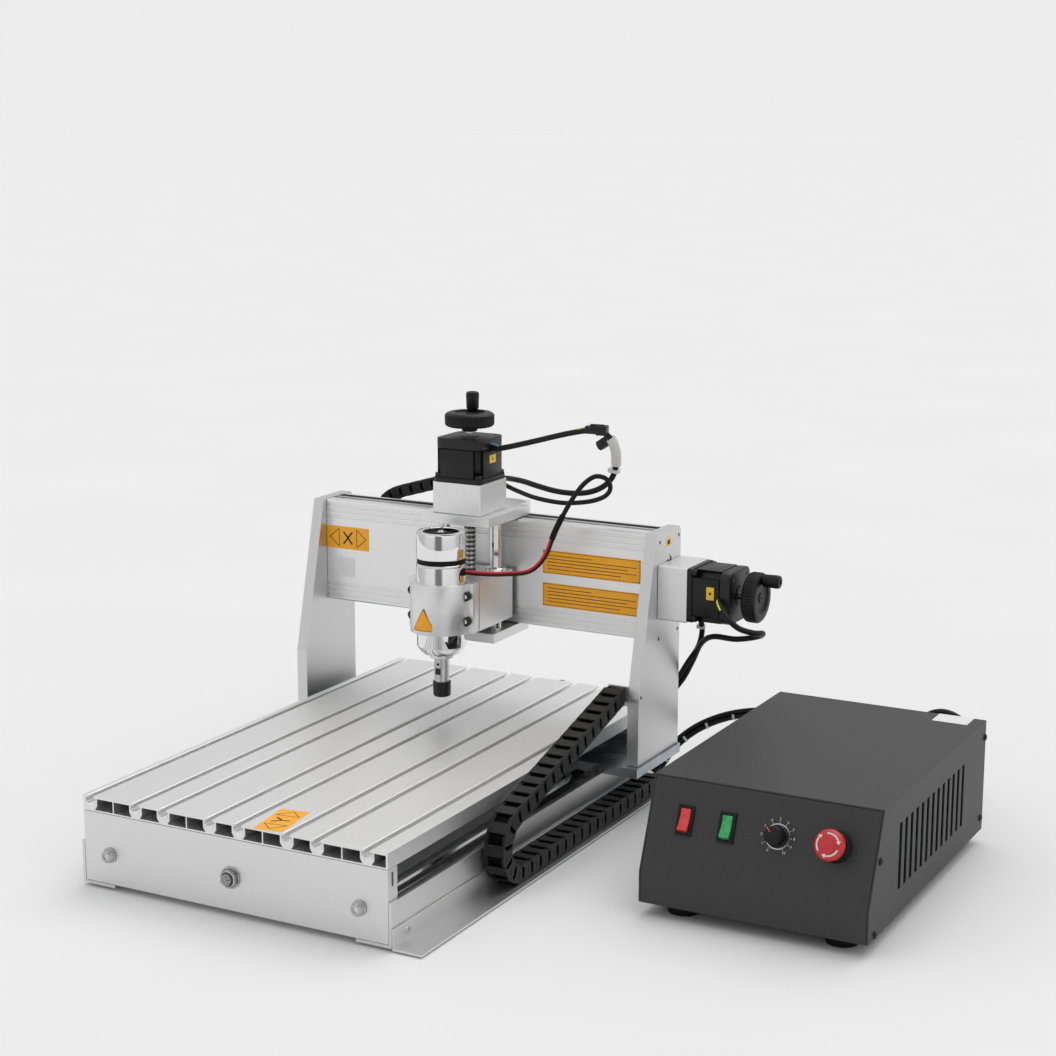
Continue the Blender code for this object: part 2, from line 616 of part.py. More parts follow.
def build_gantry():
    rear = GANTRY_FRONT + PLATE_DEPTH
    outline = [(GANTRY_FRONT, BASE_TOP + GAP), (rear, BASE_TOP + GAP), (rear, GANTRY_TOP - 5),
               (rear - 5, GANTRY_TOP), (GANTRY_FRONT + PLATE_LEAN, GANTRY_TOP),
               (GANTRY_FRONT, PLATE_KNEE)]
    for side, name in ((-1, "gantry_plate_left"), (1, "gantry_plate_right")):
        faces = sorted((side * PLATE_INNER, side * (PLATE_INNER + PLATE_THICK)))
        plate = prism("X", [outline], *faces)
        inside = side * (PLATE_INNER - 1)
        outside = side * (PLATE_INNER + PLATE_THICK + 1)
        span = sorted((inside, outside))
        tools = [rod("X", (0, X_AXIS_Y, X_AXIS_HEIGHT), *span, JOURNAL_RADIUS + GAP, 16)]
        for lift in (-1, 1):
            tools.append(rod("X", (0, X_AXIS_Y, X_AXIS_HEIGHT + lift * X_ROD_SPREAD), *span,
                             X_ROD_RADIUS + GAP, 16))
        outer = sorted((outside, side * (PLATE_INNER + PLATE_THICK - 4)))
        for y, z in ((BEAM_FRONT + 3, BEAM_TOP - 9), (rear - 5, BEAM_TOP - 9),
                     (BEAM_FRONT + 3, BEAM_BOTTOM + 2), (rear - 5, BEAM_BOTTOM + 3),
                     (GANTRY_FRONT + 6, PLATE_KNEE + 1)):
            tools.append(rod("X", (0, y, z), *outer, 2.0, 12))
        cut(plate, *tools)
        if side > 0:
            tab = box(TRAY_X + TRAY_WALL + 1, PLATE_INNER + 1, GANTRY_FRONT + 1.2,
                      GANTRY_FRONT + 4.2, CHAIN_END_Z - 12, CHAIN_END_Z + 8)
            add(plate, tab)
        finish(plate, name, "plate", "gantry")
    reach = PLATE_INNER + PLATE_THICK + BASE_OVERHANG
    base = box(-reach, reach, GANTRY_FRONT - BASE_LEAD, rear, BASE_TOP - BASE_THICK + GAP,
               BASE_TOP)
    nut = rod("Y", (0, 0, Y_SCREW_HEIGHT), GANTRY_FRONT + 20, GANTRY_FRONT + 60, 11, 24)
    bridge = box(-14, 14, GANTRY_FRONT + 20, GANTRY_FRONT + 60, Y_SCREW_HEIGHT + 2,
                 BASE_TOP - BASE_THICK + 1)
    add(base, nut, bridge)
    cut(base, rod("Y", (0, 0, Y_SCREW_HEIGHT), GANTRY_FRONT, rear, SCREW_RADIUS + GAP, 16))
    finish(base, "gantry_base_plate", "plate", "gantry")
    middle = GANTRY_FRONT + PLATE_DEPTH / 2
    for side, name in ((-1, "y_bearing_left"), (1, "y_bearing_right")):
        centre = (side * Y_ROD_OFFSET, 0, Y_ROD_HEIGHT)
        start, end = middle - BEARING_LENGTH / 2, middle + BEARING_LENGTH / 2
        shell = rod("Y", centre, start, end, BEARING_RADIUS, 32)
        seat = box(side * Y_ROD_OFFSET - 17, side * Y_ROD_OFFSET + 17, start + 8, end - 8,
                   Y_ROD_HEIGHT - 6, BASE_TOP - BASE_THICK)
        add(shell, seat)
        cut(shell, box(side * Y_ROD_OFFSET - 20, side * Y_ROD_OFFSET + 20, start - 1, end + 1,
                       BASE_TOP - BASE_THICK, BASE_TOP + 5))
        cut(shell, rod("Y", centre, start - 1, end + 1, Y_ROD_RADIUS + GAP, 20))
        finish(shell, name, "dark_steel", "gantry")
    build_beam()


def build_beam():
    front, rear = BEAM_FRONT, BEAM_FRONT + BEAM_DEPTH
    low, high = BEAM_BOTTOM, BEAM_TOP
    wall = front + BEAM_WALL
    grooves = []
    for z in (low + 6, low + 12, low + 18):
        grooves += [(front, z - 1.6), (front + 1.0, z - 1.0), (front + 1.0, z + 1.0),
                    (front, z + 1.6)]
    upper = []
    for z in (high - 18, high - 12, high - 6):
        upper += [(front, z - 1.6), (front + 1.0, z - 1.0), (front + 1.0, z + 1.0),
                  (front, z + 1.6)]
    middle = front + 18.0
    half = BEAM_GROOVE / 2

    def channel(level, sense):
        return [(middle - half, level), (middle - half, level - sense * 3.0),
                (middle - half - 3, level - sense * 3.0), (middle - half - 3, level - sense * 7.5),
                (middle + half + 3, level - sense * 7.5), (middle + half + 3, level - sense * 3.0),
                (middle + half, level - sense * 3.0), (middle + half, level)]

    outline = [(front + 1.5, low), (front, low + 1.5)] + grooves + upper
    outline += [(front, high - 1.5), (front + 1.5, high)] + channel(high, 1)
    outline += [(rear, high), (rear, high - BEAM_FLANGE), (wall, high - BEAM_FLANGE),
                (wall, low + BEAM_FLANGE), (rear, low + BEAM_FLANGE), (rear, low)]
    outline += channel(low, -1)[::-1]
    reach = PLATE_INNER - GAP
    beam = prism("X", [outline], -reach, reach)
    finish(beam, "crossbeam", "aluminium", "gantry")
    for lift, name in ((1, "x_rod_upper"), (-1, "x_rod_lower")):
        end = PLATE_INNER + PLATE_THICK - 1
        piece = rod("X", (0, X_AXIS_Y, X_AXIS_HEIGHT + lift * X_ROD_SPREAD), -end, end,
                    X_ROD_RADIUS, 16)
        finish(piece, name, "steel", "gantry")
    plate_rear = GANTRY_FRONT + PLATE_DEPTH
    back = CARRIAGE_REAR + X_TRAY_GAP
    reach = PLATE_INNER + PLATE_THICK - 2
    tray = box(-reach, reach, back, back + X_CHAIN_WIDTH + 4, X_TRAY_TOP - X_TRAY_WALL, X_TRAY_TOP)
    ends = []
    for side in (-1, 1):
        span = sorted((side * (PLATE_INNER + 1), side * reach))
        ends.append(box(*span, plate_rear + GAP, back + 2, X_TRAY_TOP - 22, X_TRAY_TOP))
    finish(add(tray, *ends), "x_chain_tray", "aluminium", "gantry")


# ---------------------------------------------------------------- Z head

def build_head():
    tail = [(-HEAD_TAIL_HALF, CARRIAGE_REAR), (-HEAD_TAIL_HALF, BEAM_FRONT + 26),
            (-HEAD_HALF, BEAM_FRONT + 26)]

    def head_plate(name, front, low, rods):
        left = [(HEAD_X + x, y) for x, y in tail] + [(HEAD_X - HEAD_HALF, front)]
        right = [(2 * HEAD_X - x, y) for x, y in reversed(left)]
        plate = prism("Z", [left + right], low, low + HEAD_PLATE)
        tools = [rod("Z", (HEAD_X, Z_AXIS_Y, 0), low - 1, low + HEAD_PLATE + 1,
                     JOURNAL_RADIUS + GAP, 16)]
        tools += [rod("Z", (HEAD_X + s * Z_ROD_SPREAD, Z_AXIS_Y, 0), *rods,
                      Z_ROD_RADIUS + GAP, 16) for s in (-1, 1)]
        cut(plate, *tools)
        if name == "z_top_plate":
            tab_left = HEAD_X - HEAD_TAIL_HALF
            add(plate, box(tab_left, tab_left + 15, CARRIAGE_REAR - 4,
                           CARRIAGE_REAR + X_TRAY_GAP + 2 - GAP, HEAD_TOP - 1,
                           X_CHAIN_END_Z + X_CHAIN_HEIGHT / 2))
        finish(plate, name, "plate", "x_carriage")

    low = HEAD_BOTTOM
    top = HEAD_TOP - HEAD_PLATE
    head_plate("z_top_plate", BEAM_FRONT - HEAD_FRONT, top, (top - 1, top + HEAD_PLATE - 2))
    head_plate("z_bottom_plate", BEAM_FRONT - FOOT_PLATE_FRONT, low,
               (low + 2, low + HEAD_PLATE + 1))
    for side, name in ((-1, "z_rod_left"), (1, "z_rod_right")):
        piece = rod("Z", (HEAD_X + side * Z_ROD_SPREAD, Z_AXIS_Y, 0), low + 2 + GAP,
                    top + HEAD_PLATE - 2 - GAP, Z_ROD_RADIUS, 16)
        finish(piece, name, "steel", "x_carriage")
    # the carriage: a wall behind the beam and a bearing block on the X rods
    wall = box(HEAD_X - HEAD_TAIL_HALF, HEAD_X + HEAD_TAIL_HALF, CARRIAGE_REAR - CARRIAGE_WALL,
               CARRIAGE_REAR, low + HEAD_PLATE + GAP, top - GAP)
    inside = BEAM_FRONT + BEAM_WALL + 3
    block = box(HEAD_X - HEAD_TAIL_HALF, HEAD_X + HEAD_TAIL_HALF, inside,
                CARRIAGE_REAR - CARRIAGE_WALL + 1, BEAM_BOTTOM + BEAM_FLANGE + 2,
                BEAM_TOP - BEAM_FLANGE - 2)
    add(wall, block)
    ends = (HEAD_X - HEAD_TAIL_HALF - 1, HEAD_X + HEAD_TAIL_HALF + 1)
    tools = [rod("X", (0, X_AXIS_Y, X_AXIS_HEIGHT), *ends, SCREW_RADIUS + GAP, 16)]
    for lift in (-1, 1):
        tools.append(rod("X", (0, X_AXIS_Y, X_AXIS_HEIGHT + lift * X_ROD_SPREAD), *ends,
                         X_ROD_RADIUS + GAP, 16))
    cut(wall, *tools)
    finish(wall, "x_carriage_block", "plate", "x_carriage")
    build_slide()


def build_slide():
    low, high = BLOCK_BOTTOM, BLOCK_BOTTOM + BLOCK_HEIGHT
    front, rear = BEAM_FRONT - BLOCK_FRONT, BEAM_FRONT - BLOCK_REAR
    left, right = HEAD_X - BLOCK_HALF, HEAD_X + BLOCK_HALF
    spindle = (HEAD_X, SPINDLE_Y, 0)
    block = box(left, right, front, rear, low, high)
    rings = [rod("Z", (HEAD_X + s * Z_ROD_SPREAD, Z_AXIS_Y, 0), high - 1, high + 5, 10.5, 28)
             for s in (-1, 1)]
    add(block, *rings)
    cut(block, rod("Z", spindle, low - 1, high + 1, SPINDLE_RADIUS + GAP, 32),
        rod("Z", (HEAD_X, Z_AXIS_Y, 0), low - 1, high + 1, SCREW_RADIUS + GAP, 16),
        *[rod("Z", (HEAD_X + s * Z_ROD_SPREAD, Z_AXIS_Y, 0), low - 1, high + 6,
              Z_ROD_RADIUS + GAP, 16) for s in (-1, 1)])
    finish(block, "z_block", "aluminium", "z_slide")
    split = front - CLAMP_SPLIT
    ears = box(left, right, split - CLAMP_EAR, split, low, high)
    ring = rod("Z", spindle, low, high, CLAMP_RADIUS, 32)
    add(ears, ring)
    cut(ears, box(left - 1, right + 1, split, split + 60, low - 1, high + 1))
    cut(ears, rod("Z", spindle, low - 1, high + 1, SPINDLE_RADIUS + GAP, 32))
    screws = []
    for side in (-1, 1):
        for z in (low + 13, high - 13):
            centre = (HEAD_X + side * (BLOCK_HALF - 6.5), 0, z)
            screws.append(lathe("Y", centre, [(split - CLAMP_EAR - 5, 4.2),
                                              (split - CLAMP_EAR + 1, 4.5)], 20))
    add(ears, *screws)
    finish(ears, "spindle_clamp", "aluminium", "z_slide")
    bottom, top = SPINDLE_BOTTOM, SPINDLE_TOP
    r = SPINDLE_RADIUS
    profile = [(NOSE_BOTTOM, NOSE_RADIUS - 1), (NOSE_BOTTOM + 4, NOSE_RADIUS),
               (bottom - 5.5, r - 9), (bottom - 1.5, r - 2.5), (bottom + 1.5, r - 0.5),
               (bottom + 3, r), (top - 32.5, r), (top - 32.5, r - 1.6), (top - 27.5, r - 1.6),
               (top - 27.5, r), (top - 1.5, r), (top, r - 1.5)]
    body = lathe("Z", spindle, profile, 32)
    cut(body, rod("Z", spindle, top - 7, top + 1, r - 6.5, 24),
        rod("Z", spindle, NOSE_BOTTOM - 1, NOSE_BOTTOM + 12, SHAFT_RADIUS + GAP, 32))
    finish(body, "spindle_body", "chrome", "z_slide")
    profile = [(NUT_BOTTOM, NUT_RADIUS - 1.5), (NUT_BOTTOM + 1.5, NUT_RADIUS),
               (NUT_TOP - 1, NUT_RADIUS), (NUT_TOP, NUT_RADIUS - 1), (NUT_TOP, SHAFT_RADIUS),
               (NOSE_BOTTOM + 11, SHAFT_RADIUS)]
    shaft = lathe("Z", spindle, profile, 32)
    cut(shaft, rod("Z", spindle, NUT_BOTTOM - 1, NUT_TOP + 4, COLLET_BORE / 2, 16))
    finish(shaft, "spindle_shaft", "dark_steel", "spindle_axis", (HEAD_X, SPINDLE_Y, 0))


# ---------------------------------------------------------------- drag chains

def chain_path(fixed, floor, centre, radius, end):
    """Middle line of a chain: along its tray, round the bend and straight up to its end."""
    middle = floor + radius
    away = math.hypot(end[0] - centre, end[1] - middle)
    slope = math.atan2(end[1] - middle, end[0] - centre) - math.asin(radius / away)
    bend = arc(centre, middle, radius, 270, 90 + math.degrees(slope), 12)
    return [(fixed, floor)] + bend + [end]


def band(path, thickness):
    """Outline of a band of even thickness along an open path."""
    left, right = [], []
    for i, point in enumerate(path):
        before = path[max(i - 1, 0)]
        after = path[min(i + 1, len(path) - 1)]
        direction = Vector((after[0] - before[0], after[1] - before[1])).normalized()
        side = Vector((-direction.y, direction.x)) * thickness / 2
        left.append((point[0] + side.x, point[1] + side.y))
        right.append((point[0] - side.x, point[1] - side.y))
    return left + right[::-1]


def build_chains():
    left = TRAY_X + TRAY_WALL + 1.0
    floor = TRAY_BOTTOM + TRAY_WALL + GAP + CHAIN_HEIGHT / 2
    path = chain_path(CHAIN_FIXED_Y, floor, CHAIN_BEND_Y, CHAIN_BEND,
                      (GANTRY_FRONT - CHAIN_END_LEAD, CHAIN_END_Z))
    piece = prism("X", [band(path, CHAIN_HEIGHT)], left, left + CHAIN_WIDTH)
    finish(piece, "y_chain", "black_plastic", "gantry")
    floor = X_TRAY_TOP + GAP + X_CHAIN_HEIGHT / 2
    path = chain_path(X_CHAIN_FIXED_X, floor, X_CHAIN_BEND_X, X_CHAIN_BEND,
                      (HEAD_X - HEAD_TAIL_HALF + 4, X_CHAIN_END_Z))
    start = CARRIAGE_REAR + X_TRAY_GAP + 2
    outline = [(z, x) for x, z in band(path, X_CHAIN_HEIGHT)]
    piece = prism("Y", [outline], start, start + X_CHAIN_WIDTH)
    finish(piece, "x_chain", "black_plastic", "x_carriage")


# ---------------------------------------------------------------- control box

PANEL_RISE = BOX_TOP - BOX_FOLD
PANEL_LENGTH = math.hypot(BOX_SETBACK, PANEL_RISE)


def panel_matrix(x, up=PANEL_UP):
    """Local Z out of the sloped panel, local Y up the slope, local X across."""
    s = Vector((0, BOX_SETBACK, PANEL_RISE)) / PANEL_LENGTH
    n = Vector((0, -PANEL_RISE, BOX_SETBACK)) / PANEL_LENGTH
    point = Vector((BOX_X + x, BOX_Y, BOX_FOLD)) + s * up
    turn = Matrix(((1, 0, 0), tuple(s), tuple(n))).transposed().to_4x4()
    return Matrix.Translation(point * MM) @ turn


def on_panel(obj, x):
    obj.data.transform(panel_matrix(x))
    return obj


def panel_point(x, out=0.0):
    return tuple(panel_matrix(x) @ Vector((0, 0, out * MM)) / MM)


def side_outline(inset=0.0):
    """The box's side as (Y, Z), or the same moved in by inset."""
    n = inset * PANEL_LENGTH / PANEL_RISE
    return [(BOX_Y + inset, BOX_BOTTOM + inset), (BOX_Y + BOX_DEPTH - inset, BOX_BOTTOM + inset),
            (BOX_Y + BOX_DEPTH - inset, BOX_TOP - inset),
            (BOX_Y + BOX_SETBACK + n - inset * BOX_SETBACK / PANEL_RISE, BOX_TOP - inset),
            (BOX_Y + inset, BOX_FOLD + (inset - n) * PANEL_RISE / BOX_SETBACK)]


def build_box():
    x0, x1 = BOX_X, BOX_X + BOX_WIDTH
    y1 = BOX_Y + BOX_DEPTH
    outline = side_outline()
    cover = prism("X", [outline], x0, x1)
    hollow = [(BOX_Y - 60, BOX_BOTTOM - 5), (y1 + 5, BOX_BOTTOM - 5),
              (y1 + 5, BOX_TOP - BOX_WALL), (BOX_Y - 60, BOX_TOP - BOX_WALL)]
    cut(cover, prism("X", [hollow], x0 + BOX_WALL, x1 - BOX_WALL))
    slots = []
    for i in range(LOUVRES):
        y = BOX_Y + LOUVRE_FIRST + i * LOUVRE_PITCH
        for face in (x0, x1):
            slots.append(box(face - 4, face + 4, y - LOUVRE_WIDTH / 2, y + LOUVRE_WIDTH / 2,
                             LOUVRE_BOTTOM, LOUVRE_TOP))
    cut(cover, *slots)
    finish(cover, "box_cover", "powder_coat", "frame")

    inner = side_outline(BOX_WALL)
    shell = outline[:2] + [(y1, BOX_TOP - BOX_WALL - GAP), (y1 - BOX_WALL, BOX_TOP - BOX_WALL - GAP)]
    shell += [inner[1], inner[0], inner[4]]
    top = BOX_TOP - BOX_WALL - GAP
    lean = (top - BOX_FOLD) / PANEL_RISE * BOX_SETBACK
    thick = BOX_WALL * PANEL_LENGTH / PANEL_RISE
    shell += [(BOX_Y + lean + thick, top), (BOX_Y + lean, top), (BOX_Y, BOX_FOLD)]
    wall = BOX_WALL + GAP
    base = prism("X", [shell], x0 + wall, x1 - wall)
    feet = []
    for x in (x0 + BOX_FOOT_INSET, x1 - BOX_FOOT_INSET):
        for y in (BOX_Y + BOX_FOOT_INSET, y1 - BOX_FOOT_INSET):
            feet.append(lathe("Z", (x, y, 0), [(0, BOX_FOOT_RADIUS - 1), (2, BOX_FOOT_RADIUS),
                                               (BOX_BOTTOM + 0.5, BOX_FOOT_RADIUS)], 24))
    socket = lathe("Y", (harness_socket()[0], 0, harness_socket()[1]),
                   [(y1 - 0.5, 9), (y1 + 4, 9), (y1 + 4, 7.5), (y1 + 14, 7.5)], 24)
    add(base, *feet, socket)
    holes = []
    for x in (POWER_X, SPINDLE_SWITCH_X):
        half_w, half_l = SWITCH_WIDTH / 2 - 2 + GAP, SWITCH_LENGTH / 2 - 2 + GAP
        holes.append(on_panel(box(-half_w, half_w, -half_l, half_l, -8, 8), x))
    holes.append(on_panel(rod("Z", (0, 0, 0), -8, 8, 3.0 + GAP, 24), KNOB_X))
    holes.append(on_panel(rod("Z", (0, 0, 0), -8, 8, ESTOP_COLLAR - 1 + GAP, 32), ESTOP_X))
    holes.append(box(inlet_x() - 13.5, inlet_x() + 13.5, y1 - 8, y1 + 8, inlet_z() - 10,
                     inlet_z() + 10))
    cut(base, *holes)
    finish(base, "box_base", "powder_coat", "frame")
    build_controls()
    build_electronics()


def build_controls():
    for x, name, parent, look in ((POWER_X, "power", "power_axis", "red_plastic"),
                                  (SPINDLE_SWITCH_X, "spindle", "spindle_switch_axis",
                                   "green_plastic")):
        half_w, half_l = SWITCH_WIDTH / 2, SWITCH_LENGTH / 2
        body = box(-half_w, half_w, -half_l, half_l, GAP, SWITCH_BEZEL)
        add(body, box(-half_w + 2, half_w - 2, -half_l + 2, half_l - 2, -SWITCH_DEEP, 1))
        cut(body, box(-ROCKER_WIDTH / 2 - GAP, ROCKER_WIDTH / 2 + GAP, -ROCKER_LENGTH / 2 - GAP,
                      ROCKER_LENGTH / 2 + GAP, -9, 8))
        finish(on_panel(body, x), name + "_switch_body", "black_plastic", "frame")
        half = ROCKER_LENGTH / 2
        profile = [(0, -6.8)] + arc(0, 0, half, -8, 16, 3)
        profile += [(half * 0.5, 2.9), (0, 3.1), (-half * 0.45, 4.3)]
        profile += arc(0, 0, half, 143, 188, 4)
        rocker = prism("X", [profile], -ROCKER_WIDTH / 2, ROCKER_WIDTH / 2)
        on_panel(rocker, x)
        finish(rocker, name + "_rocker", look, parent, panel_point(x))
    profile = [(-10, 2.5), (1.0, 2.5), (1.0, KNOB_RADIUS), (3.0, KNOB_RADIUS),
               (KNOB_HEIGHT - 1, KNOB_RADIUS - 1.3), (KNOB_HEIGHT, KNOB_RADIUS - 2.3)]
    knob = lathe("Z", (0, 0, 0), profile, 24)
    grips = []
    for i in range(12):
        turn = 2 * math.pi * i / 12
        centre = ((KNOB_RADIUS + 0.4) * math.cos(turn), (KNOB_RADIUS + 0.4) * math.sin(turn), 0)
        grips.append(rod("Z", centre, 4.0, KNOB_HEIGHT + 1, 1.3, 8))
    cut(knob, *grips)
    finish(on_panel(knob, KNOB_X), "speed_knob", "black_plastic", "knob_axis",
           panel_point(KNOB_X))
    collar = ESTOP_COLLAR
    profile = [(-22, collar - 1), (GAP, collar - 1), (GAP, collar + 2.5), (2.0, collar + 2.5),
               (6.0, collar)]
    body = lathe("Z", (0, 0, 0), profile, 24)
    cut(body, rod("Z", (0, 0, 0), -23, 7, ESTOP_STEM + GAP, 28))
    finish(on_panel(body, ESTOP_X), "estop_body", "black_plastic", "frame")
    stem = lathe("Z", (0, 0, 0), [(-14, ESTOP_STEM), (13.0, ESTOP_STEM), (13.0, 4.0),
                                  (16.0, 4.0)], 28)
    finish(on_panel(stem, ESTOP_X), "estop_plunger", "black_plastic", "estop_axis",
           panel_point(ESTOP_X))
    r = ESTOP_RADIUS
    profile = [(13.0 + GAP, r - 4), (14.0, r - 1), (16.0, r), (19.0, r), (22.0, r - 1.5),
               (23.5, r - 4), (24.2, r - 8)]
    head = lathe("Z", (0, 0, 0), profile, 24)
    cut(head, rod("Z", (0, 0, 0), 12, 16.0 + GAP, 4.0 + GAP, 20))
    finish(on_panel(head, ESTOP_X), "estop_head", "red_plastic", "estop_twist_axis",
           panel_point(ESTOP_X))


def harness_socket():
    """The machine cable's socket on the back of the box, as (X, Z)."""
    return (BOX_X + 42, BOX_BOTTOM + 62)


def inlet_x():
    return BOX_X + 125


def inlet_z():
    return BOX_BOTTOM + 34


def build_electronics():
    low = BOX_BOTTOM + BOX_WALL + GAP
    y = BOX_Y + 110
    supply = box(BOX_X + 22, BOX_X + 122, y, y + 190, low, low + 42)
    ledge = box(BOX_X + 118, BOX_X + 190, y + 10, y + 130, low + 14, low + 16)
    posts = [rod("Z", (x, v, 0), low, low + 15, 3, 12)
             for x in (BOX_X + 128, BOX_X + 184) for v in (y + 16, y + 124)]
    sink = box(BOX_X + 140, BOX_X + 170, y + 30, y + 110, low + 15, low + 34)
    add(supply, ledge, *posts, sink)
    finish(supply, "control_electronics", "board_green", "frame")
    y1 = BOX_Y + BOX_DEPTH
    body = box(inlet_x() - 16, inlet_x() + 16, y1 + GAP, y1 + 3, inlet_z() - 14, inlet_z() + 14)
    add(body, box(inlet_x() - 13, inlet_x() + 13, y1 - 18, y1 + 1, inlet_z() - 9.5,
                  inlet_z() + 9.5))
    relief = lathe("Y", (inlet_x(), 0, inlet_z()), [(y1 + 2, 9.5), (y1 + 24, 9.0),
                                                    (y1 + 24, 6.0), (y1 + 38, 5.0)], 20)
    add(body, relief)
    finish(body, "mains_inlet", "black_plastic", "frame")


# ---------------------------------------------------------------- cables

def smooth(points, steps=3):
    """Catmull-Rom points through a short list."""
    ends = [tuple(2 * a - b for a, b in zip(points[0], points[1]))]
    tail = [tuple(2 * a - b for a, b in zip(points[-1], points[-2]))]
    chain = [Vector(p) for p in ends + list(points) + tail]
    made = []
    for a, b, c, d in zip(chain, chain[1:], chain[2:], chain[3:]):
        for i in range(steps):
            t = i / steps
            made.append(0.5 * (2 * b + (c - a) * t + (2 * a - 5 * b + 4 * c - d) * t * t
                               + (3 * b - a - 3 * c + d) * t ** 3))
    return made + [chain[-2]]


def cord(name, points, diameter, parent, look="black_plastic"):
    curve = bpy.data.curves.new(name, "CURVE")
    curve.dimensions = "3D"
    curve.bevel_depth = diameter / 2 * MM
    curve.bevel_resolution = 1
    curve.use_fill_caps = True
    curve.render_resolution_u = 0
    path = smooth(points)
    spline = curve.splines.new("POLY")
    spline.points.add(len(path) - 1)
    for point, place in zip(spline.points, path):
        point.co = (*(place * MM), 1.0)
    obj = bpy.data.objects.new(name, curve)
    bpy.context.collection.objects.link(obj)
    return finish(obj, name, look, parent)


def build_cables():
    side = MOTOR_SIZE / 2 - MOTOR_INSET
    z_cable = [(HEAD_X + side + GAP, 431, 371), (36.5, 431, 371), (50, 431, 374), (66, 431, 378.3), (84, 431.5, 383.3),
               (102, 432.5, 388.5), (120, 434, 393.3), (138, 436, 397), (152, 438.5, 397),
               (161.5, 442, 390), (165, 445.5, 380), (165, 449, 370), (163, 452.5, 360),
               (157, 456.5, 347), (145, 461, 336), (128, 466, 328), (107, 472, 323.5),
               (82, 480, 322), (57, 488, 323.5), (32, 498, 325.5), (12, 508, 325),
               (-5, 524, 322)]
    cord("z_motor_cable", z_cable, CABLE, "x_carriage")
    pair = [(HEAD_X + SPINDLE_RADIUS + 0.5, 371, 251), (36, 371, 251), (50, 376, 250),
            (68, 390, 249), (88, 406, 251), (101, 415, 266), (110, 421, 293),
            (120.5, 425.5, 316), (129, 430, 332), (137.5, 434, 343.5), (147, 438.5, 350),
            (156, 444, 347.5), (158, 450.5, 337.5), (150, 456.5, 327.5), (134, 462, 320),
            (112, 469, 314.5), (86, 479, 310.5), (48, 497, 309), (16, 514, 311), (-7, 526, 314)]
    cord("spindle_cable", pair, WIRE_PAIR, "z_slide")
    start = X_AXIS_Y - side - 2 * GAP
    x_cable = [(279, start, 229), (279.5, start - 5, 228.6), (289, start - 12, 219),
               (304, start - 13, 208), (318, start - 6, 203), (321, 470, 199), (309, 484, 191),
               (282, 494, 183), (254, 500, 181), (235, 513, 168), (221, 524, 145),
               (208, 527, 122), (194, 522, 104), (185, 503, 98), (183, 475, 107),
               (183, 445, 122)]
    cord("x_motor_cable", x_cable, CABLE, "gantry")
    x, z = harness_socket()
    y1 = BOX_Y + BOX_DEPTH
    harness = [(184, CHAIN_FIXED_Y + 1, 14), (186, CHAIN_FIXED_Y + 20, 22), (198, 541, 44),
               (220, 556, 63), (252, 566, 77), (290, 572, 84), (332, 573, 84),
               (x - 5, 560, 79), (x, y1 + 24, z + 1), (x, y1 + 18, z), (x, y1 + 14 + GAP, z)]
    cord("box_harness", harness, CABLE, "frame")
    mains = [(446, 561.6, 47), (446, 570.8, 48), (446, 578, 51), (446, 584.2, 55.8),
             (446, 589, 62), (446, 592, 69.2), (446, 593, 77), (448.2, 593, 88.6), (454.5, 593, 98),
             (463.9, 593, 104.3), (475, 593, 106.5), (486.1, 593, 104.3), (495.5, 593, 98),
             (501.8, 593, 88.6), (504, 593, 77.5), (504, 593, 62), (504, 593, 47),
             (504, 593, 32.8), (501.8, 593, 21.7), (495.5, 593, 12.3), (486.1, 593, 6),
             (475, 593, 3.8), (470.9, 593, 3.8)]
    cord("mains_cord", mains, MAINS, "frame")
    coil = rod("Z", (COIL_X, COIL_Y, 0), GAP, COIL_HEIGHT, COIL_RADIUS, 32)
    cut(coil, rod("Z", (COIL_X, COIL_Y, 0), -1, COIL_HEIGHT + 1, COIL_INNER, 24))
    finish(coil, "mains_coil", "black_plastic", "frame")
    y = COIL_Y - COIL_RADIUS + MAINS / 2
    tip = COIL_X - 26.8
    end = tip - 11 - PLUG_LENGTH
    plug = box(end, end + PLUG_LENGTH, y - 12, y + 12, GAP, 24)
    pins = [box(end - 16, end + 1, y + side - 3, y + side + 3, 10, 13) for side in (-6.5, 6.5)]
    relief = lathe("X", (0, y, 12), [(end + PLUG_LENGTH - 1, 6), (tip, 5)], 20)
    finish(add(plug, *pins, relief), "mains_plug", "black_plastic", "frame")


# ---------------------------------------------------------------- joints' empties

def build_groups():
    group("machine", (0, 0, 0))
    group("frame", (0, 0, 0), "machine")
    group("gantry", (0, GANTRY_FRONT, Y_ROD_HEIGHT), "frame")
    group("x_carriage", (HEAD_X, X_AXIS_Y, X_AXIS_HEIGHT), "gantry")
    group("z_slide", (HEAD_X, Z_AXIS_Y, BLOCK_BOTTOM), "x_carriage")
    group("spindle_axis", (HEAD_X, SPINDLE_Y, NUT_BOTTOM), "z_slide")
    group("y_screw_axis", (0, 0, Y_SCREW_HEIGHT), "frame")
    group("x_screw_axis", (0, X_AXIS_Y, X_AXIS_HEIGHT), "gantry")
    group("z_screw_axis", (HEAD_X, Z_AXIS_Y, 0), "x_carriage")
    group("x_crank_axis", crank_point("X", (0, X_AXIS_Y, X_AXIS_HEIGHT)), "x_screw_axis")
    group("z_crank_axis", crank_point("Z", (HEAD_X, Z_AXIS_Y, 0)), "z_screw_axis")
    group("power_axis", panel_point(POWER_X), "frame")
    group("spindle_switch_axis", panel_point(SPINDLE_SWITCH_X), "frame")
    group("knob_axis", panel_point(KNOB_X), "frame")
    group("estop_axis", panel_point(ESTOP_X), "frame")
    group("estop_twist_axis", panel_point(ESTOP_X), "estop_axis")


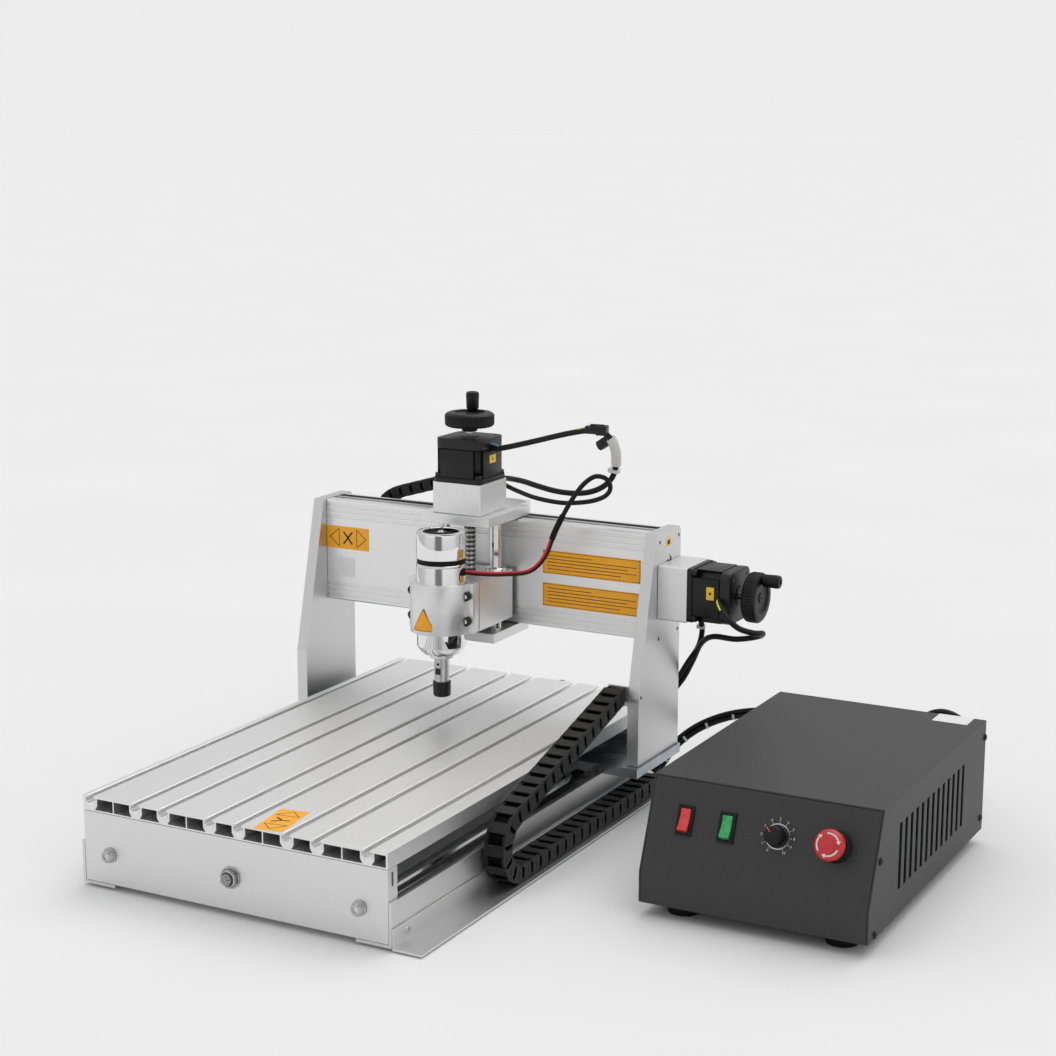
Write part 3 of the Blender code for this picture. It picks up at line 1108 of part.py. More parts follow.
def recentre():
    """Moves the machine so that the origin is under the middle of its bounding box.

    The mains lead that lies free behind it is left out of the box.
    """
    bpy.context.view_layer.update()
    low, high = [math.inf] * 3, [-math.inf] * 3
    depsgraph = bpy.context.evaluated_depsgraph_get()
    for obj in bpy.context.collection.objects:
        if obj.type == "EMPTY" or obj.name in FREE_LEAD:
            continue
        evaluated = obj.evaluated_get(depsgraph)
        mesh = evaluated.to_mesh()
        for vertex in mesh.vertices:
            place = obj.matrix_world @ vertex.co
            low = [min(a, b) for a, b in zip(low, place)]
            high = [max(a, b) for a, b in zip(high, place)]
        evaluated.to_mesh_clear()
    GROUPS["machine"].location = (-(low[0] + high[0]) / 2, -(low[1] + high[1]) / 2, -low[2])
    bpy.context.view_layer.update()


def main():
    clear_scene()
    build_groups()
    build_bed()
    build_rails()
    build_y_drive()
    build_gantry()
    build_head()
    build_mounts_and_wheels()
    build_chains()
    build_box()
    build_cables()
    recentre()


main()
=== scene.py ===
"""Looks of a small three-axis CNC router and its control box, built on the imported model.

Lengths are millimetres on the machine: X across it, Y from its front plate to the back, Z up from
the floor. TO_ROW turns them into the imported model's own metres.
"""

import json
import math

import bmesh
import bpy
from mathutils import Matrix, Vector


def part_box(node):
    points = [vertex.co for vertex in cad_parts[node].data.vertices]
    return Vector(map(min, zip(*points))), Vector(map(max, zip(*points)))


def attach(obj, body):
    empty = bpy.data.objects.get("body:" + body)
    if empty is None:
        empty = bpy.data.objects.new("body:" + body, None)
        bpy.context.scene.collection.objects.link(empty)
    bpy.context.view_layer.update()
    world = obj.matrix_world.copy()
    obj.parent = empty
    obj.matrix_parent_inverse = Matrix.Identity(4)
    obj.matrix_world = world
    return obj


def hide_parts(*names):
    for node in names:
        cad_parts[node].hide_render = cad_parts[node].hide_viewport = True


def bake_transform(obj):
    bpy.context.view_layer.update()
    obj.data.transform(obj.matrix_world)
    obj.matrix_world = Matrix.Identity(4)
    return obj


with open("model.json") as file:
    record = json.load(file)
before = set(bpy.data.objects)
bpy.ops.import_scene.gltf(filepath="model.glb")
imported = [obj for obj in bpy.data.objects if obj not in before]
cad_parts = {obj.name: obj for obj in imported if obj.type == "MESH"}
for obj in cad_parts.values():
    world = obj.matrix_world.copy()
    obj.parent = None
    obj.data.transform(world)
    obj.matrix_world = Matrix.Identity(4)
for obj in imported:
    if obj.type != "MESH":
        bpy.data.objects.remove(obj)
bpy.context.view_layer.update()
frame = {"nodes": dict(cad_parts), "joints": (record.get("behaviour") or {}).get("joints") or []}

table_low, table_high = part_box("table")
ORIGIN = Vector(((table_low.x + table_high.x) / 2, table_low.y, 0))
TO_ROW = Matrix.Translation(ORIGIN) @ Matrix.Scale(0.001, 4)
FROM_ROW = TO_ROW.inverted()
JOINTS = {joint["name"]: joint for joint in frame["joints"]}

# local Z along the axis; the other two follow in turn
TURN = {
    "X": Matrix(((0, 0, 1), (1, 0, 0), (0, 1, 0))).to_4x4(),
    "Y": Matrix(((0, 1, 0), (0, 0, 1), (1, 0, 0))).to_4x4(),
    "Z": Matrix.Identity(4),
}


def at(*place):
    return TO_ROW @ Vector(place)


def span(name):
    """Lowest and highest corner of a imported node, on the machine."""
    low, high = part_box(name)
    return FROM_ROW @ low, FROM_ROW @ high


def middle(name):
    low, high = span(name)
    return (low + high) / 2


def pivot(joint):
    return FROM_ROW @ Vector(JOINTS[joint]["pos_m"])


def move(*place):
    return Matrix.Translation(place)


def spin(degrees, axis):
    return Matrix.Rotation(math.radians(degrees), 4, axis)


def placed(axis, *place):
    """A frame at a place with its local Z along an axis."""
    return move(*place) @ TURN[axis]


def polar(radius, degrees):
    turn = math.radians(degrees)
    return radius * math.cos(turn), radius * math.sin(turn)


def linked(name, data):
    made = bpy.data.objects.new(name, data)
    bpy.context.scene.collection.objects.link(made)
    return made


# ---- materials

def linear(value):
    value /= 255
    return value / 12.92 if value <= 0.04045 else ((value + 0.055) / 1.055) ** 2.4


def tone(colour):
    """A grey or (red, green, blue) as seen on a screen, as linear light."""
    if not isinstance(colour, tuple):
        colour = (colour,) * 3
    return tuple(linear(c) for c in colour) + (1.0,)


def node(tree, kind, inputs=None, **settings):
    made = tree.nodes.new("ShaderNode" + kind)
    for key, value in settings.items():
        setattr(made, key, value)
    for key, value in (inputs or {}).items():
        if isinstance(value, bpy.types.NodeSocket):
            tree.links.new(value, made.inputs[key])
        else:
            made.inputs[key].default_value = value
    return made


def colour_ramp(tree, factor, stops):
    """Colours in linear light at their positions, looked up by a factor."""
    made = node(tree, "ValToRGB", {"Fac": factor})
    elements = made.color_ramp.elements
    while len(elements) < len(stops):
        elements.new(1.0)
    for element, (position, colour) in zip(elements, stops):
        element.position = position
        element.color = colour
    return made.outputs["Color"]


LOOKS = {}
# dark, light, least and most roughness, mottling, bump depth and width
METALS = {
    "table": (232, 238, 0.42, 0.5, 3, 0.01, 1),
    "plate": (222, 230, 0.38, 0.46, 2, 0.01, 0.8),
    "gantry": (210, 220, 0.36, 0.44, 2, 0.01, 0.8),
    "beam": (230, 238, 0.36, 0.44, 2, 0.01, 0.8),
    "rail": (216, 226, 0.36, 0.46, 3, 0.01, 1),
    "milled": (228, 236, 0.4, 0.48, 5, 0.008, 0.5),
    "zinc": ((150, 158, 166), (184, 190, 196), 0.2, 0.3, 26),
    "chrome": (232, 240, 0.03, 0.05, 30),
    "bright_steel": (200, 218, 0.1, 0.16, 8),
    "screw_steel": (170, 196, 0.22, 0.34, 2),
    "dark_steel": (44, 66, 0.28, 0.4, 3),
}
BRUSHED = {"table": (8, 0.15, 8), "plate": (0.2, 1, 6), "gantry": (1, 6, 0.15),
           "beam": (0.1, 6, 6), "rail": (6, 0.15, 6)}
# the same, and then the specular level and the coat
PLASTICS = {
    "black_screw": (12, 20, 0.3, 0.42, 2, 0, 1, 0.4),
    "motor_black": (12, 18, 0.3, 0.4, 4, 0.01, 0.8, 0.35),
    "motor_cap": (16, 24, 0.34, 0.44, 2, 0.02, 0.5, 0.4),
    "wheel_black": (13, 20, 0.36, 0.46, 3, 0.01, 0.6, 0.3),
    "chain_black": (26, 36, 0.45, 0.58, 3, 0.01, 0.5, 0.35),
    # painted shade: a near-black laid in holes, grooves and hollows where shade falls
    "recess_shade_black": (3, 6, 0.6, 0.75, 3, 0, 1, 0.15),
    "cable_black": (10, 16, 0.38, 0.5, 3, 0.01, 0.6, 0.3),
    "connector_black": (8, 14, 0.25, 0.35, 2, 0, 1, 0.4),
    "tie_white": (205, 225, 0.4, 0.5, 2),
    "powder_coat": (40, 52, 0.42, 0.52, 1.4, 0.03, 0.45),
    "rubber": (8, 14, 0.55, 0.7, 2, 0.02, 0.6, 0.25),
    "switch_black": (10, 16, 0.4, 0.5, 2, 0.01, 0.5, 0.3),
    "red_lens": ((190, 20, 24), (226, 40, 40), 0.08, 0.16, 4, 0, 1, 0.5, 0.6),
    "green_lens": ((10, 130, 66), (24, 176, 96), 0.08, 0.16, 4, 0, 1, 0.5, 0.6),
    "red_plastic": ((186, 34, 38), (206, 48, 50), 0.3, 0.4, 3),
    "print_white": (200, 222, 0.5, 0.6, 1.5),
    "print_red": ((196, 60, 66), (214, 80, 84), 0.5, 0.6, 1.5),
    "print_black": (24, 34, 0.45, 0.55, 1.5),
    "label_orange": ((250, 168, 16), (255, 182, 26), 0.35, 0.45, 4),
    "label_dim": ((196, 112, 14), (206, 122, 22), 0.35, 0.45, 4),
    "label_yellow": ((240, 190, 20), (250, 206, 40), 0.35, 0.45, 3),
    "label_white": (226, 236, 0.4, 0.5, 3),
    "wire_red": ((186, 20, 32), (216, 40, 50), 0.3, 0.4, 2),
    "wire_yellow": ((216, 206, 40), (232, 224, 70), 0.3, 0.4, 2),
    "wire_blue": ((20, 110, 130), (30, 140, 160), 0.3, 0.4, 2),
    "wire_green": ((20, 110, 70), (30, 140, 90), 0.3, 0.4, 2),
    "tape_white": ((196, 194, 190), (218, 216, 212), 0.45, 0.55, 2),
    "board_green": ((20, 74, 44), (34, 96, 58), 0.35, 0.45, 6),
}
THREAD_PITCH = 2.5
MOTTLE_RANGE = (0.3, 0.7)


def surface(name, dark, light, smoothest, roughest, size, relief=0, relief_size=1, specular=0.5,
            coat=0.0, metallic=0.0, stretch=(1, 1, 1)):
    """A finish whose colour and roughness wander between two values.

    size is how wide the mottling is in millimetres and stretch multiplies its fineness along X, Y
    and Z. relief is the depth of the fine bumps in millimetres, relief_size their width.
    """
    material = bpy.data.materials.new(name)
    material.use_nodes = True
    tree = material.node_tree
    shader = tree.nodes["Principled BSDF"]
    place = node(tree, "TexCoord").outputs["Object"]
    grain = node(tree, "Mapping", {"Vector": place, "Scale": stretch}).outputs["Vector"]
    mottle = node(tree, "TexNoise", {"Vector": grain, "Scale": 1000 / size,
                                     "Detail": 4.0}).outputs["Fac"]
    start, end = MOTTLE_RANGE
    colour = colour_ramp(tree, mottle, [(start, tone(dark)), (end, tone(light))])
    spread = node(tree, "MapRange", {"Value": mottle, "From Min": start, "From Max": end,
                                     "To Min": smoothest, "To Max": roughest})
    tree.links.new(colour, shader.inputs["Base Color"])
    tree.links.new(spread.outputs["Result"], shader.inputs["Roughness"])
    if relief:
        fine = node(tree, "TexNoise", {"Vector": grain, "Scale": 1000 / relief_size, "Detail": 2.0})
        bump = node(tree, "Bump", {"Height": fine.outputs["Fac"], "Distance": relief / 1000,
                                   "Strength": 0.6})
        tree.links.new(bump.outputs["Normal"], shader.inputs["Normal"])
    shader.inputs["Metallic"].default_value = metallic
    shader.inputs["Specular IOR Level"].default_value = specular
    shader.inputs["Coat Weight"].default_value = coat
    LOOKS[name] = material
    return material


def threaded(name, axis, pitch):
    """Bright steel with a thread cut round it: rings across the axis, pitch millimetres apart."""
    tree = surface(name, 150, 190, 0.2, 0.32, 2, metallic=1.0).node_tree
    place = node(tree, "TexCoord").outputs["Object"]
    wave = node(tree, "TexWave", {"Vector": place, "Scale": 1000 / pitch / 20 * math.pi,
                                  "Distortion": 0.0}, bands_direction=axis).outputs["Fac"]
    bump = node(tree, "Bump", {"Height": wave, "Distance": pitch / 3000, "Strength": 1.0})
    shader = tree.nodes["Principled BSDF"]
    tree.links.new(bump.outputs["Normal"], shader.inputs["Normal"])
    colour = colour_ramp(tree, wave, [(0.0, tone(60)), (1.0, tone(200))])
    tree.links.new(colour, shader.inputs["Base Color"])


def make_looks():
    for name, values in METALS.items():
        surface(name, *values, metallic=1.0, stretch=BRUSHED.get(name, (1, 1, 1)))
    for name, values in PLASTICS.items():
        surface(name, *values)
    for axis in "XYZ":
        threaded("thread_" + axis.lower(), axis, THREAD_PITCH)


# ---- shapes

def lathe(profile, sides=48, ribs=0, depth=0.0):
    """Turned about Z from (height, radius) pairs; a third value marks a ring that the ribs cut."""
    bm = bmesh.new()
    if ribs:
        sides = ribs * 4
    rings = []
    for height, radius, *ribbed in profile:
        if radius < 1e-6:
            rings.append([bm.verts.new((0, 0, height))])
            continue
        ring = []
        for i in range(sides):
            turn = 2 * math.pi * i / sides
            r = radius - depth if ribbed and i % 4 < 2 else radius
            ring.append(bm.verts.new((r * math.cos(turn), r * math.sin(turn), height)))
        rings.append(ring)
    for a, b in zip(rings, rings[1:]):
        for i in range(sides):
            j = (i + 1) % sides
            corners = [a[i % len(a)], a[j % len(a)], b[j % len(b)], b[i % len(b)]]
            corners = list(dict.fromkeys(corners))
            if len(corners) > 2:
                bm.faces.new(corners)
    for ring in (rings[0], rings[-1]):
        if len(ring) > 1:
            bm.faces.new(ring)
    bmesh.ops.recalc_face_normals(bm, faces=bm.faces)
    return bm


def prism(outline, start, end):
    """A straight bar along Z with an outline in X and Y."""
    bm = bmesh.new()
    low = [bm.verts.new((x, y, start)) for x, y in outline]
    high = [bm.verts.new((x, y, end)) for x, y in outline]
    bm.faces.new(low)
    bm.faces.new(high)
    for i in range(len(outline)):
        j = (i + 1) % len(outline)
        bm.faces.new((low[i], low[j], high[j], high[i]))
    bmesh.ops.recalc_face_normals(bm, faces=bm.faces)
    return bm


def block(low, high):
    outline = [(low[0], low[1]), (high[0], low[1]), (high[0], high[1]), (low[0], high[1])]
    return prism(outline, low[2], high[2])


def arc(cx, cy, radius, start, end, steps):
    points = [polar(radius, start + (end - start) * i / steps) for i in range(steps + 1)]
    return [(cx + x, cy + y) for x, y in points]


def hexagon(radius):
    return arc(0, 0, radius, 0, 300, 5)


def rounded(half_x, half_y, radius, steps=5):
    """A rectangle's outline with round corners."""
    points = []
    for sx, sy, start in ((1, 1, 0), (-1, 1, 90), (-1, -1, 180), (1, -1, 270)):
        points += arc(sx * (half_x - radius), sy * (half_y - radius), radius, start, start + 90,
                      steps)
    return points


def notched(half, corner, radius):
    """A square's outline with a round notch about each screw at its corners."""
    points = []
    reach = math.sqrt(radius ** 2 - (half - corner) ** 2)
    slope = math.degrees(math.atan2(reach, half - corner))
    for turn in (0, 90, 180, 270):
        across, along = polar(1, turn)
        for x, y in arc(corner, corner, radius, -slope, slope - 270, 7):
            points.append((x * across - y * along, x * along + y * across))
    return points


def smooth(points, steps=6):
    """Catmull-Rom points through a short list."""
    points = [Vector(p) for p in points]
    chain = [2 * points[0] - points[1]] + points + [2 * points[-1] - points[-2]]
    made = []
    for a, b, c, d in zip(chain, chain[1:], chain[2:], chain[3:]):
        for i in range(steps):
            t = i / steps
            made.append(0.5 * (2 * b + (c - a) * t + (2 * a - 5 * b + 4 * c - d) * t * t
                               + (3 * b - a - 3 * c + d) * t ** 3))
    return made + [points[-1]]


def frames(path):
    """Two directions across a path at each of its points, turned as little as possible."""
    made, across = [], None
    for i in range(len(path)):
        along = (path[min(i + 1, len(path) - 1)] - path[max(i - 1, 0)]).normalized()
        if across is None:
            across = along.orthogonal().normalized()
        across = (across - along * across.dot(along)).normalized()
        made.append((across, along.cross(across)))
    return made


def tube(path, radius, sides=12):
    """A round cable with flat ends."""
    bm = bmesh.new()
    rings = []
    for point, (u, v) in zip(path, frames(path)):
        ring = []
        for i in range(sides):
            turn = 2 * math.pi * i / sides
            ring.append(bm.verts.new(point + (u * math.cos(turn) + v * math.sin(turn)) * radius))
        rings.append(ring)
    for a, b in zip(rings, rings[1:]):
        for i in range(sides):
            j = (i + 1) % sides
            bm.faces.new((a[i], a[j], b[j], b[i]))
    bm.faces.new(rings[0])
    bm.faces.new(rings[-1])
    bmesh.ops.recalc_face_normals(bm, faces=bm.faces)
    return bm


SHARP_EDGE, SMOOTH_ANGLE = 35, 32


class Piece:
    """One object of the looks, made of solids that each have their own finish."""

    def __init__(self, name, body=None):
        self.name = name
        self.body = body
        self.bm = bmesh.new()
        self.looks = []

    def add(self, solid, look, where=None, bevel=0.0, steps=2):
        """Takes a bmesh in; where places it, and bevel rounds its sharp edges first."""
        if bevel:
            sharp = [e for e in solid.edges if len(e.link_faces) == 2
                     and e.calc_face_angle() > math.radians(SHARP_EDGE)]
            bmesh.ops.bevel(solid, geom=sharp, offset=bevel, segments=steps, profile=0.5,
                            affect="EDGES", clamp_overlap=True)
        if look not in self.looks:
            self.looks.append(look)
        for face in solid.faces:
            face.material_index = self.looks.index(look)
            face.smooth = True
        mesh = bpy.data.meshes.new("solid")
        solid.to_mesh(mesh)
        solid.free()
        if where is not None:
            mesh.transform(where)
        self.bm.from_mesh(mesh)
        bpy.data.meshes.remove(mesh)

    def turned(self, where, *solids):
        """Solids turned about one axis, each as its profile, its number of sides and its look."""
        for profile, sides, look in solids:
            self.add(lathe(profile, sides), look, where)

    def done(self, *stands_for, ride=True):
        mesh = bpy.data.meshes.new(self.name)
        self.bm.to_mesh(mesh)
        self.bm.free()
        mesh.transform(TO_ROW)
        for look in self.looks:
            mesh.materials.append(LOOKS[look])
        mesh.set_sharp_from_angle(angle=math.radians(SMOOTH_ANGLE))
        obj = linked(self.name, mesh)
        if ride:
            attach(obj, self.body)
        if stands_for:
            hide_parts(*stands_for)
        return obj


# ---- camera, light and floor

CAMERA = (1086.67, -1465.25, 724.82)
YAW, PITCH, ROLL = 28.13, 11.42, 0.14
BACKDROP = 0.839


def make_camera():
    data = bpy.data.cameras.new("camera")
    data.sensor_width = 36.0
    data.lens = 72.0
    data.clip_end = 100.0
    camera = linked("camera", data)
    camera.matrix_world = (move(*at(*CAMERA)) @ spin(YAW, "Z") @ spin(90 - PITCH, "X")
                           @ spin(ROLL, "Z"))
    bpy.context.scene.camera = camera


STUDIO_LIGHT = 0.85
SUN_LIGHT, SUN_WIDTH = 0.9, 50
# brightness all round from -X, and from below to above
ROUND_ABOUT = ((0.0, 0.75), (0.10, 0.8), (0.14, 1.0), (0.24, 1.0), (0.27, 0.25), (0.33, 0.25),
               (0.36, 1.05), (0.50, 1.0), (0.56, 0.7), (0.75, 0.75), (0.90, 0.7), (1.0, 0.75))
UPWARDS = ((0.0, 0.8), (0.5, 0.8), (0.62, 0.9), (0.8, 1.15), (1.0, 1.25))


def make_world():
    """An even backdrop for the camera; a white studio with dark gaps for light and reflections."""
    world = bpy.data.worlds.new("studio")
    bpy.context.scene.world = world
    world.use_nodes = True
    tree = world.node_tree
    tree.nodes.clear()

    def brightness(value, reach, stops):
        share = node(tree, "MapRange", {"Value": value, "From Min": -reach, "From Max": reach})
        return colour_ramp(tree, share.outputs["Result"], [(p, (v, v, v, 1)) for p, v in stops])

    direction = node(tree, "TexCoord").outputs["Generated"]
    split = node(tree, "SeparateXYZ", {"Vector": direction}).outputs
    turn = node(tree, "Math", {0: split["Y"], 1: split["X"]}, operation="ARCTAN2").outputs["Value"]
    both = node(tree, "Mix", {6: brightness(turn, math.pi, ROUND_ABOUT),
                              7: brightness(split["Z"], 1.0, UPWARDS), 0: 1.0},
                data_type="RGBA", blend_type="MULTIPLY")
    studio = node(tree, "Background", {"Color": both.outputs[2], "Strength": STUDIO_LIGHT})
    backdrop = node(tree, "Background", {"Color": (BACKDROP,) * 3 + (1,), "Strength": 1.0})
    seen = node(tree, "LightPath").outputs["Is Camera Ray"]
    mixed = node(tree, "MixShader", {0: seen, 1: studio.outputs[0], 2: backdrop.outputs[0]})
    node(tree, "OutputWorld", {"Surface": mixed.outputs[0]})


def make_lights():
    data = bpy.data.lights.new("overhead", "SUN")
    data.energy = SUN_LIGHT
    data.angle = math.radians(SUN_WIDTH)
    sun = linked("overhead", data)
    sun.rotation_euler = Vector((-0.12, -0.5, -1.0)).to_track_quat("-Z", "Y").to_euler()


def make_floor():
    reach = 40.0
    mesh = bpy.data.meshes.new("floor")
    corners = [(-reach, -reach, 0), (reach, -reach, 0), (reach, reach, 0), (-reach, reach, 0)]
    mesh.from_pydata(corners, [], [(0, 1, 2, 3)])
    mesh.materials.append(surface("floor", 236, 238, 0.85, 0.95, 400))
    linked("floor", mesh)


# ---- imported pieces

PACKED = {
    "table": "table",
    "plate": "front_plate rear_plate",
    "gantry": "gantry_plate_left gantry_plate_right",
    "beam": "crossbeam",
    "rail": "side_rail_left side_rail_right chain_tray x_chain_tray",
    "milled": "x_motor_mount z_motor_mount z_block spindle_clamp x_carriage_block z_top_plate "
              "z_bottom_plate y_bearing_left y_bearing_right",
    "zinc": "gantry_base_plate",
    "bright_steel": "y_rod_left y_rod_right x_rod_upper x_rod_lower z_rod_left z_rod_right",
    "thread_x": "x_screw",
    "thread_y": "y_screw",
    "thread_z": "z_screw",
    "powder_coat": "box_cover box_base",
    "switch_black": "power_switch_body spindle_switch_body estop_body estop_plunger mains_inlet",
    "board_green": "control_electronics",
    "red_lens": "power_rocker",
    "green_lens": "spindle_rocker",
    "motor_black": "x_motor y_motor z_motor",
    "wheel_black": "x_handwheel y_handwheel z_handwheel x_crank z_crank speed_knob",
    "chain_black": "y_chain x_chain",
    "chrome": "spindle_body",
    "dark_steel": "spindle_shaft",
    "red_plastic": "estop_head",
    "cable_black": "box_harness x_motor_cable z_motor_cable spindle_cable mains_cord mains_coil "
                   "mains_plug",
}
ROUNDED_LOOKS = "table plate gantry beam rail milled zinc powder_coat".split()
KEPT_SHARP = "x_carriage_block y_bearing_left y_bearing_right".split()


def round_edges(obj):
    weld = obj.modifiers.new("weld", "WELD")
    weld.merge_threshold = 1e-6
    bevel = obj.modifiers.new("edges", "BEVEL")
    bevel.width = 0.0004
    bevel.segments = 2
    bevel.limit_method = "ANGLE"
    bevel.angle_limit = math.radians(40)
    bevel.harden_normals = True


def dress_packed():
    for look, names in PACKED.items():
        for name in names.split():
            obj = frame["nodes"][name]
            obj.data.materials.clear()
            obj.data.materials.append(LOOKS[look])
            if look in ROUNDED_LOOKS and name not in KEPT_SHARP:
                round_edges(obj)
    frame["nodes"]["spindle_clamp"].data.shade_smooth()


# ---- spindle

FAN_BLADES = 9
LEAD_HEIGHT = 251


def build_spindle():
    """Mirror-finished motor with a fan in its top."""
    low, high = span("spindle_body")
    x, y = middle("spindle_body").xy
    r = (high.x - low.x) / 2 + 0.15
    crown = placed("Z", x, y, high.z)
    ring = low.z + 98.8 - high.z
    body = Piece("spindle_motor", "z_slide")
    body.turned(
        placed("Z", x, y, low.z),
        ([(0, 11), (0, 12), (0.6, 12.5), (5.8, 12.5)], 48, "milled"),
        ([(5, 14.5), (5, 18.6), (5.8, 19.8), (8.5, 22.6), (11.5, 24.8), (13.4, 25.8), (14.4, r),
          (98, r), (98.8, r - 0.5)], 96, "chrome"))
    body.turned(
        crown,
        ([(ring, r - 1.4), (ring, r - 0.2), (ring + 0.4, r + 0.15), (ring + 2.2, r + 0.15),
          (ring + 2.6, r - 0.3)], 96, "bright_steel"),
        ([(ring + 2.6, r - 1.9), (ring + 3.6, r - 1.0), (ring + 6.2, r - 1.0),
          (ring + 7.4, r - 1.9)], 64, "rubber"),
        ([(ring + 7.4, r - 2), (ring + 7.4, r - 0.7), (ring + 8.2, r), (-2.2, r), (-0.8, r - 0.7),
          (-0.1, r - 2.2), (-0.1, r - 6.4), (-1.0, r - 7.2), (-6.0, r - 7.4)], 96, "chrome"),
        # the near-black disc under the fan is painted shade in the motor's top recess
        ([(-6.2, r - 7.5), (-5.6, r - 7.5), (-5.6, 9)], 48, "recess_shade_black"),
        ([(-5.8, 7.6), (-2.0, 7.2), (-1.4, 6.4)], 32, "switch_black"),
        ([(-1.6, 3.4), (-0.5, 3.2), (-0.1, 2.7)], 24, "bright_steel"))
    for i in range(FAN_BLADES):
        body.add(block((7, -0.5, -1.7), (r - 8, 0.5, 1.7)), "dark_steel",
                 crown @ move(0, 0, -3.6) @ spin(360 * i / FAN_BLADES, "Z") @ spin(40.1, "X"))
    body.turned(placed("X", x, y, LEAD_HEIGHT),
                ([(r - 0.4, 4.2), (r + 1.4, 4.0), (r + 3.6, 3.0)], 24, "rubber"))
    body.done("spindle_body")


def build_tool_holder():
    """The shaft and its clamping nut, which turn under the spindle."""
    low, high = span("spindle_shaft")
    x, y = middle("spindle_body").xy
    nose = placed("Z", x, y, low.z)
    length = high.z - low.z
    rotor = Piece("tool_holder", "rotor")
    rotor.turned(nose, ([(16, 7.8), (length - 11.2, 7.9), (length - 10.6, 8.1), (length, 8.1)], 64,
                        "bright_steel"))
    nut = [(0, 6.2), (0, 8.0), (0.8, 9.1, 1), (10.8, 9.5, 1), (11.4, 9.0), (12, 8.9), (12.6, 9.5),
           (15.2, 9.5), (16, 8.9)]
    rotor.add(lathe(nut, ribs=10, depth=0.5), "black_screw", nose)
    # the small near-black disc at the nose is painted shade standing for the bore
    rotor.turned(nose, ([(-0.05, 5.4), (0.6, 5.4)], 32, "dark_steel"),
                 ([(-0.1, 1.7), (0.5, 1.7)], 16, "recess_shade_black"))
    front = placed("Y", x, y - 8.0, high.z)
    # the near-black dot on the front is painted shade standing for a hole in the shaft
    rotor.add(prism(arc(-17.5, 0, 1.4, 0, 345, 15), -0.12, 0.5), "recess_shade_black", front)
    rotor.add(block((-28.5, -2.9, -0.1), (-21.8, 2.9, 0.6)), "dark_steel", front)
    rotor.done("spindle_shaft")


def build_clamp_parts():
    """The clamp's screws, and the rings about the Z rods."""
    x = middle("spindle_body").x
    low, high = span("z_block")
    screws = Piece("clamp_screws", "z_slide")
    for side in (-32, 32):
        for rise in (13, 39.4):
            socket_screw(screws, placed("Y", x + side, low.y - 13.4, low.z + rise), 4.9, -6.0,
                         "black_screw")
    screws.done()
    rings = Piece("bearing_rings", "z_slide")
    profile = [(0, 10.9), (1.2, 10.9), (1.2, 10.2), (2, 10.2), (2, 10.9), (5.2, 10.9),
               (5.7, 10.2), (5.7, 7.2)]
    for side in (-31, 31):
        rings.turned(placed("Z", x + side, middle("z_rod_left").y, high.z - 5.0),
                     (profile, 40, "chrome"))
    rings.done()


def socket_screw(piece, where, radius, height, look):
    """A socket-head screw; its head stands height millimetres along local Z."""
    sign = 1 if height > 0 else -1
    head = [(0, radius), (height - 0.7 * sign, radius), (height, radius - 0.7),
            (height, radius * 0.52), (height - 2.2 * sign, radius * 0.5)]
    piece.turned(where, (head, 28, look))
    # the near-black hexagon at the socket's floor is painted shade in the socket
    piece.add(prism(hexagon(radius * 0.46), height - 2.6 * sign, height - 2.1 * sign), "recess_shade_black",
              where)


# ---- motors and handwheels

BOLT_PLACE = 23.6
PIN_LENGTH = 18.5


def half_width(name, index):
    """Half the larger width of a node across one of the three directions."""
    low, high = span(name)
    return max((high - low)[i] for i in range(3) if i != index) / 2


def build_motor(name, body, axis, label):
    """Square stepper motor: flange with bolts, stack with notched corners, cast end cap."""
    low, high = span(name)
    index = "XYZ".index(axis)
    place = middle(name)
    place[index] = low[index]
    where = placed(axis, *place)
    length = (high - low)[index]
    half = half_width(name, index)
    piece = Piece(name + "_body", body)
    for outline, start, end, look, bevel, steps in (
            (rounded(half, half, 4.7), 0, 5, "motor_black", 0.4, 2),
            (notched(half - 0.8, BOLT_PLACE, 5.3), 4.9, length - 11.6, "motor_black", 0.3, 2),
            # the thin near-black band between stack and end cap is painted shade in the groove there
            (notched(half - 1.4, BOLT_PLACE, 6), length - 11.8, length - 10.8, "recess_shade_black", 0, 2),
            (rounded(half - 1.2, half - 1.2, 8.5), length - 11, length, "motor_cap", 0.9, 3)):
        piece.add(prism(outline, start, end), look, where, bevel, steps)
    for x in (-BOLT_PLACE, BOLT_PLACE):
        for y in (-BOLT_PLACE, BOLT_PLACE):
            head = [(5, 4.3), (5.7, 4.3), (5.7, 3.8), (8.6, 3.8), (9, 3.3)]
            tip = [(-0.1, 2.2), (0.4, 2.2), (0.7, 1.8)]
            cap = [(-2, 2.6), (0.1, 2.6), (0.3, 2.2)]
            piece.turned(where @ move(x, y, 0), (head, 24, "black_screw"), (tip, 16, "bright_steel"))
            piece.turned(where @ move(x * 0.84, y * 0.84, length), (cap, 16, "black_screw"))
    piece.turned(where @ move(0, 0, length),
                 ([(-1, 11), (0.25, 11), (0.4, 10.4), (0.4, 5)], 40, "motor_cap"))
    if label:
        side, along, across = label
        patch = where @ side @ move(across, along, half)
        piece.add(prism(rounded(4.2, 6.6, 0.5, 2), -1.0, -0.62), "label_yellow", patch)
        piece.add(prism(hexagon(1.6), -0.7, -0.58), "print_black", patch)
    piece.done(name)


